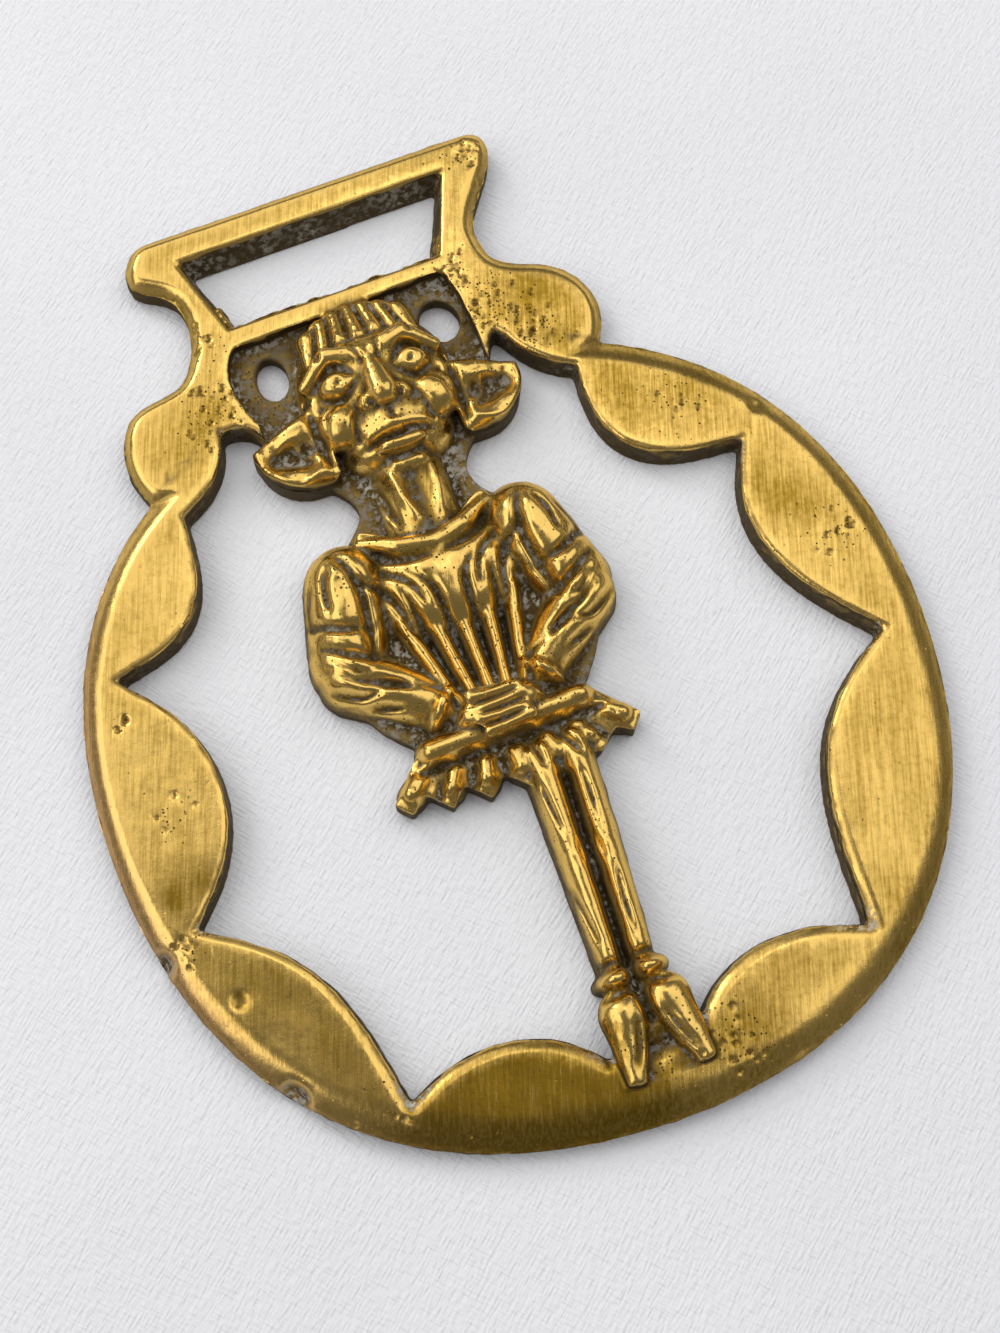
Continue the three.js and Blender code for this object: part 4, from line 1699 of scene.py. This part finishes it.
@dataclass
class Studio:
    """The floor, the soft lights and the camera."""

    floor_look: FloorLook = field(default_factory=FloorLook)
    floor_size: float = 1.6
    floor_drop: float = 0.0001          # below the brass, so that the two don't touch
    screen_distance: float = 0.9
    screen_colour: Place = (1.0, 0.985, 0.965)
    room_colour: Place = (0.97, 0.97, 1.0)
    room_light: float = 0.165
    lens: float = 48.61
    eye: Place = (-0.02055, -0.04714, 0.16319)
    ahead: Place = (0.1217, 0.2518, -0.9601)
    right: Place = (0.9281, -0.3719, 0.0201)

    def floor(self) -> None:
        """Lays the pale floor just below the casting."""
        deselect_all()
        bpy.ops.mesh.primitive_plane_add(size=self.floor_size, location=(0, 0, -self.floor_drop))
        floor = bpy.context.object
        floor.name = "floor"
        bpy.ops.object.transform_apply(location=True, rotation=True, scale=True)
        floor.data.materials.append(cloth_material(self.floor_look))

    def _hang(self, screen: Screen) -> None:
        """Hangs one screen.

        Args:
            screen: The screen.
        """
        lean = math.radians(screen.tilt)
        x, y = screen.towards
        place = self.screen_distance * Vector((x * math.sin(lean), y * math.sin(lean),
                                               math.cos(lean)))
        bpy.ops.object.light_add(type="AREA", location=place,
                                 rotation=place.to_track_quat("Z", "Y").to_euler())
        lamp = bpy.context.object
        lamp.name = screen.name
        lamp.data.shape = "RECTANGLE"
        lamp.data.size, lamp.data.size_y = screen.width, screen.height
        lamp.data.energy = screen.radiance * math.pi * screen.width * screen.height
        lamp.data.color = self.screen_colour
        lamp.visible_glossy = screen.mirrored

    def lights(self) -> None:
        """Hangs the screens, in a dim room."""
        deselect_all()
        for screen in SCREENS:
            self._hang(screen)
        world = bpy.data.worlds.new("room")
        bpy.context.scene.world = world
        world.use_nodes = True
        nodes = Nodes(world.node_tree)
        background = nodes.add("Background", {"Color": self.room_colour,
                                              "Strength": self.room_light})
        nodes.add("OutputWorld", {"Surface": background.outputs[0]})
        bpy.context.scene.view_settings.view_transform = "Standard"

    def camera(self) -> None:
        """Sets the camera above the lower left of the brass, turned with it."""
        ahead = Vector(self.ahead).normalized()
        right = Vector(self.right)
        right = (right - right.dot(ahead) * ahead).normalized()
        up = right.cross(ahead)
        data = bpy.data.cameras.new("camera")
        data.lens = self.lens
        data.sensor_fit = "AUTO"
        data.sensor_width = 36.0
        data.clip_start = 0.005
        camera = bpy.data.objects.new("camera", data)
        turn = Matrix((right, up, -ahead)).transposed().to_4x4()
        camera.matrix_world = Matrix.Translation(Vector(self.eye)) @ turn
        bpy.context.scene.collection.objects.link(camera)
        bpy.context.scene.camera = camera


def main() -> None:
    """Builds the stage and the casting; the casting notes its size and how much it is fitted by.
    """
    logging.basicConfig(level=logging.INFO, format="%(message)s")
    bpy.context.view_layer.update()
    studio = Studio()
    studio.camera()
    studio.floor()
    studio.lights()
    Casting(brass_material(BrassLook())).build()


if __name__ == "__main__":
    main()
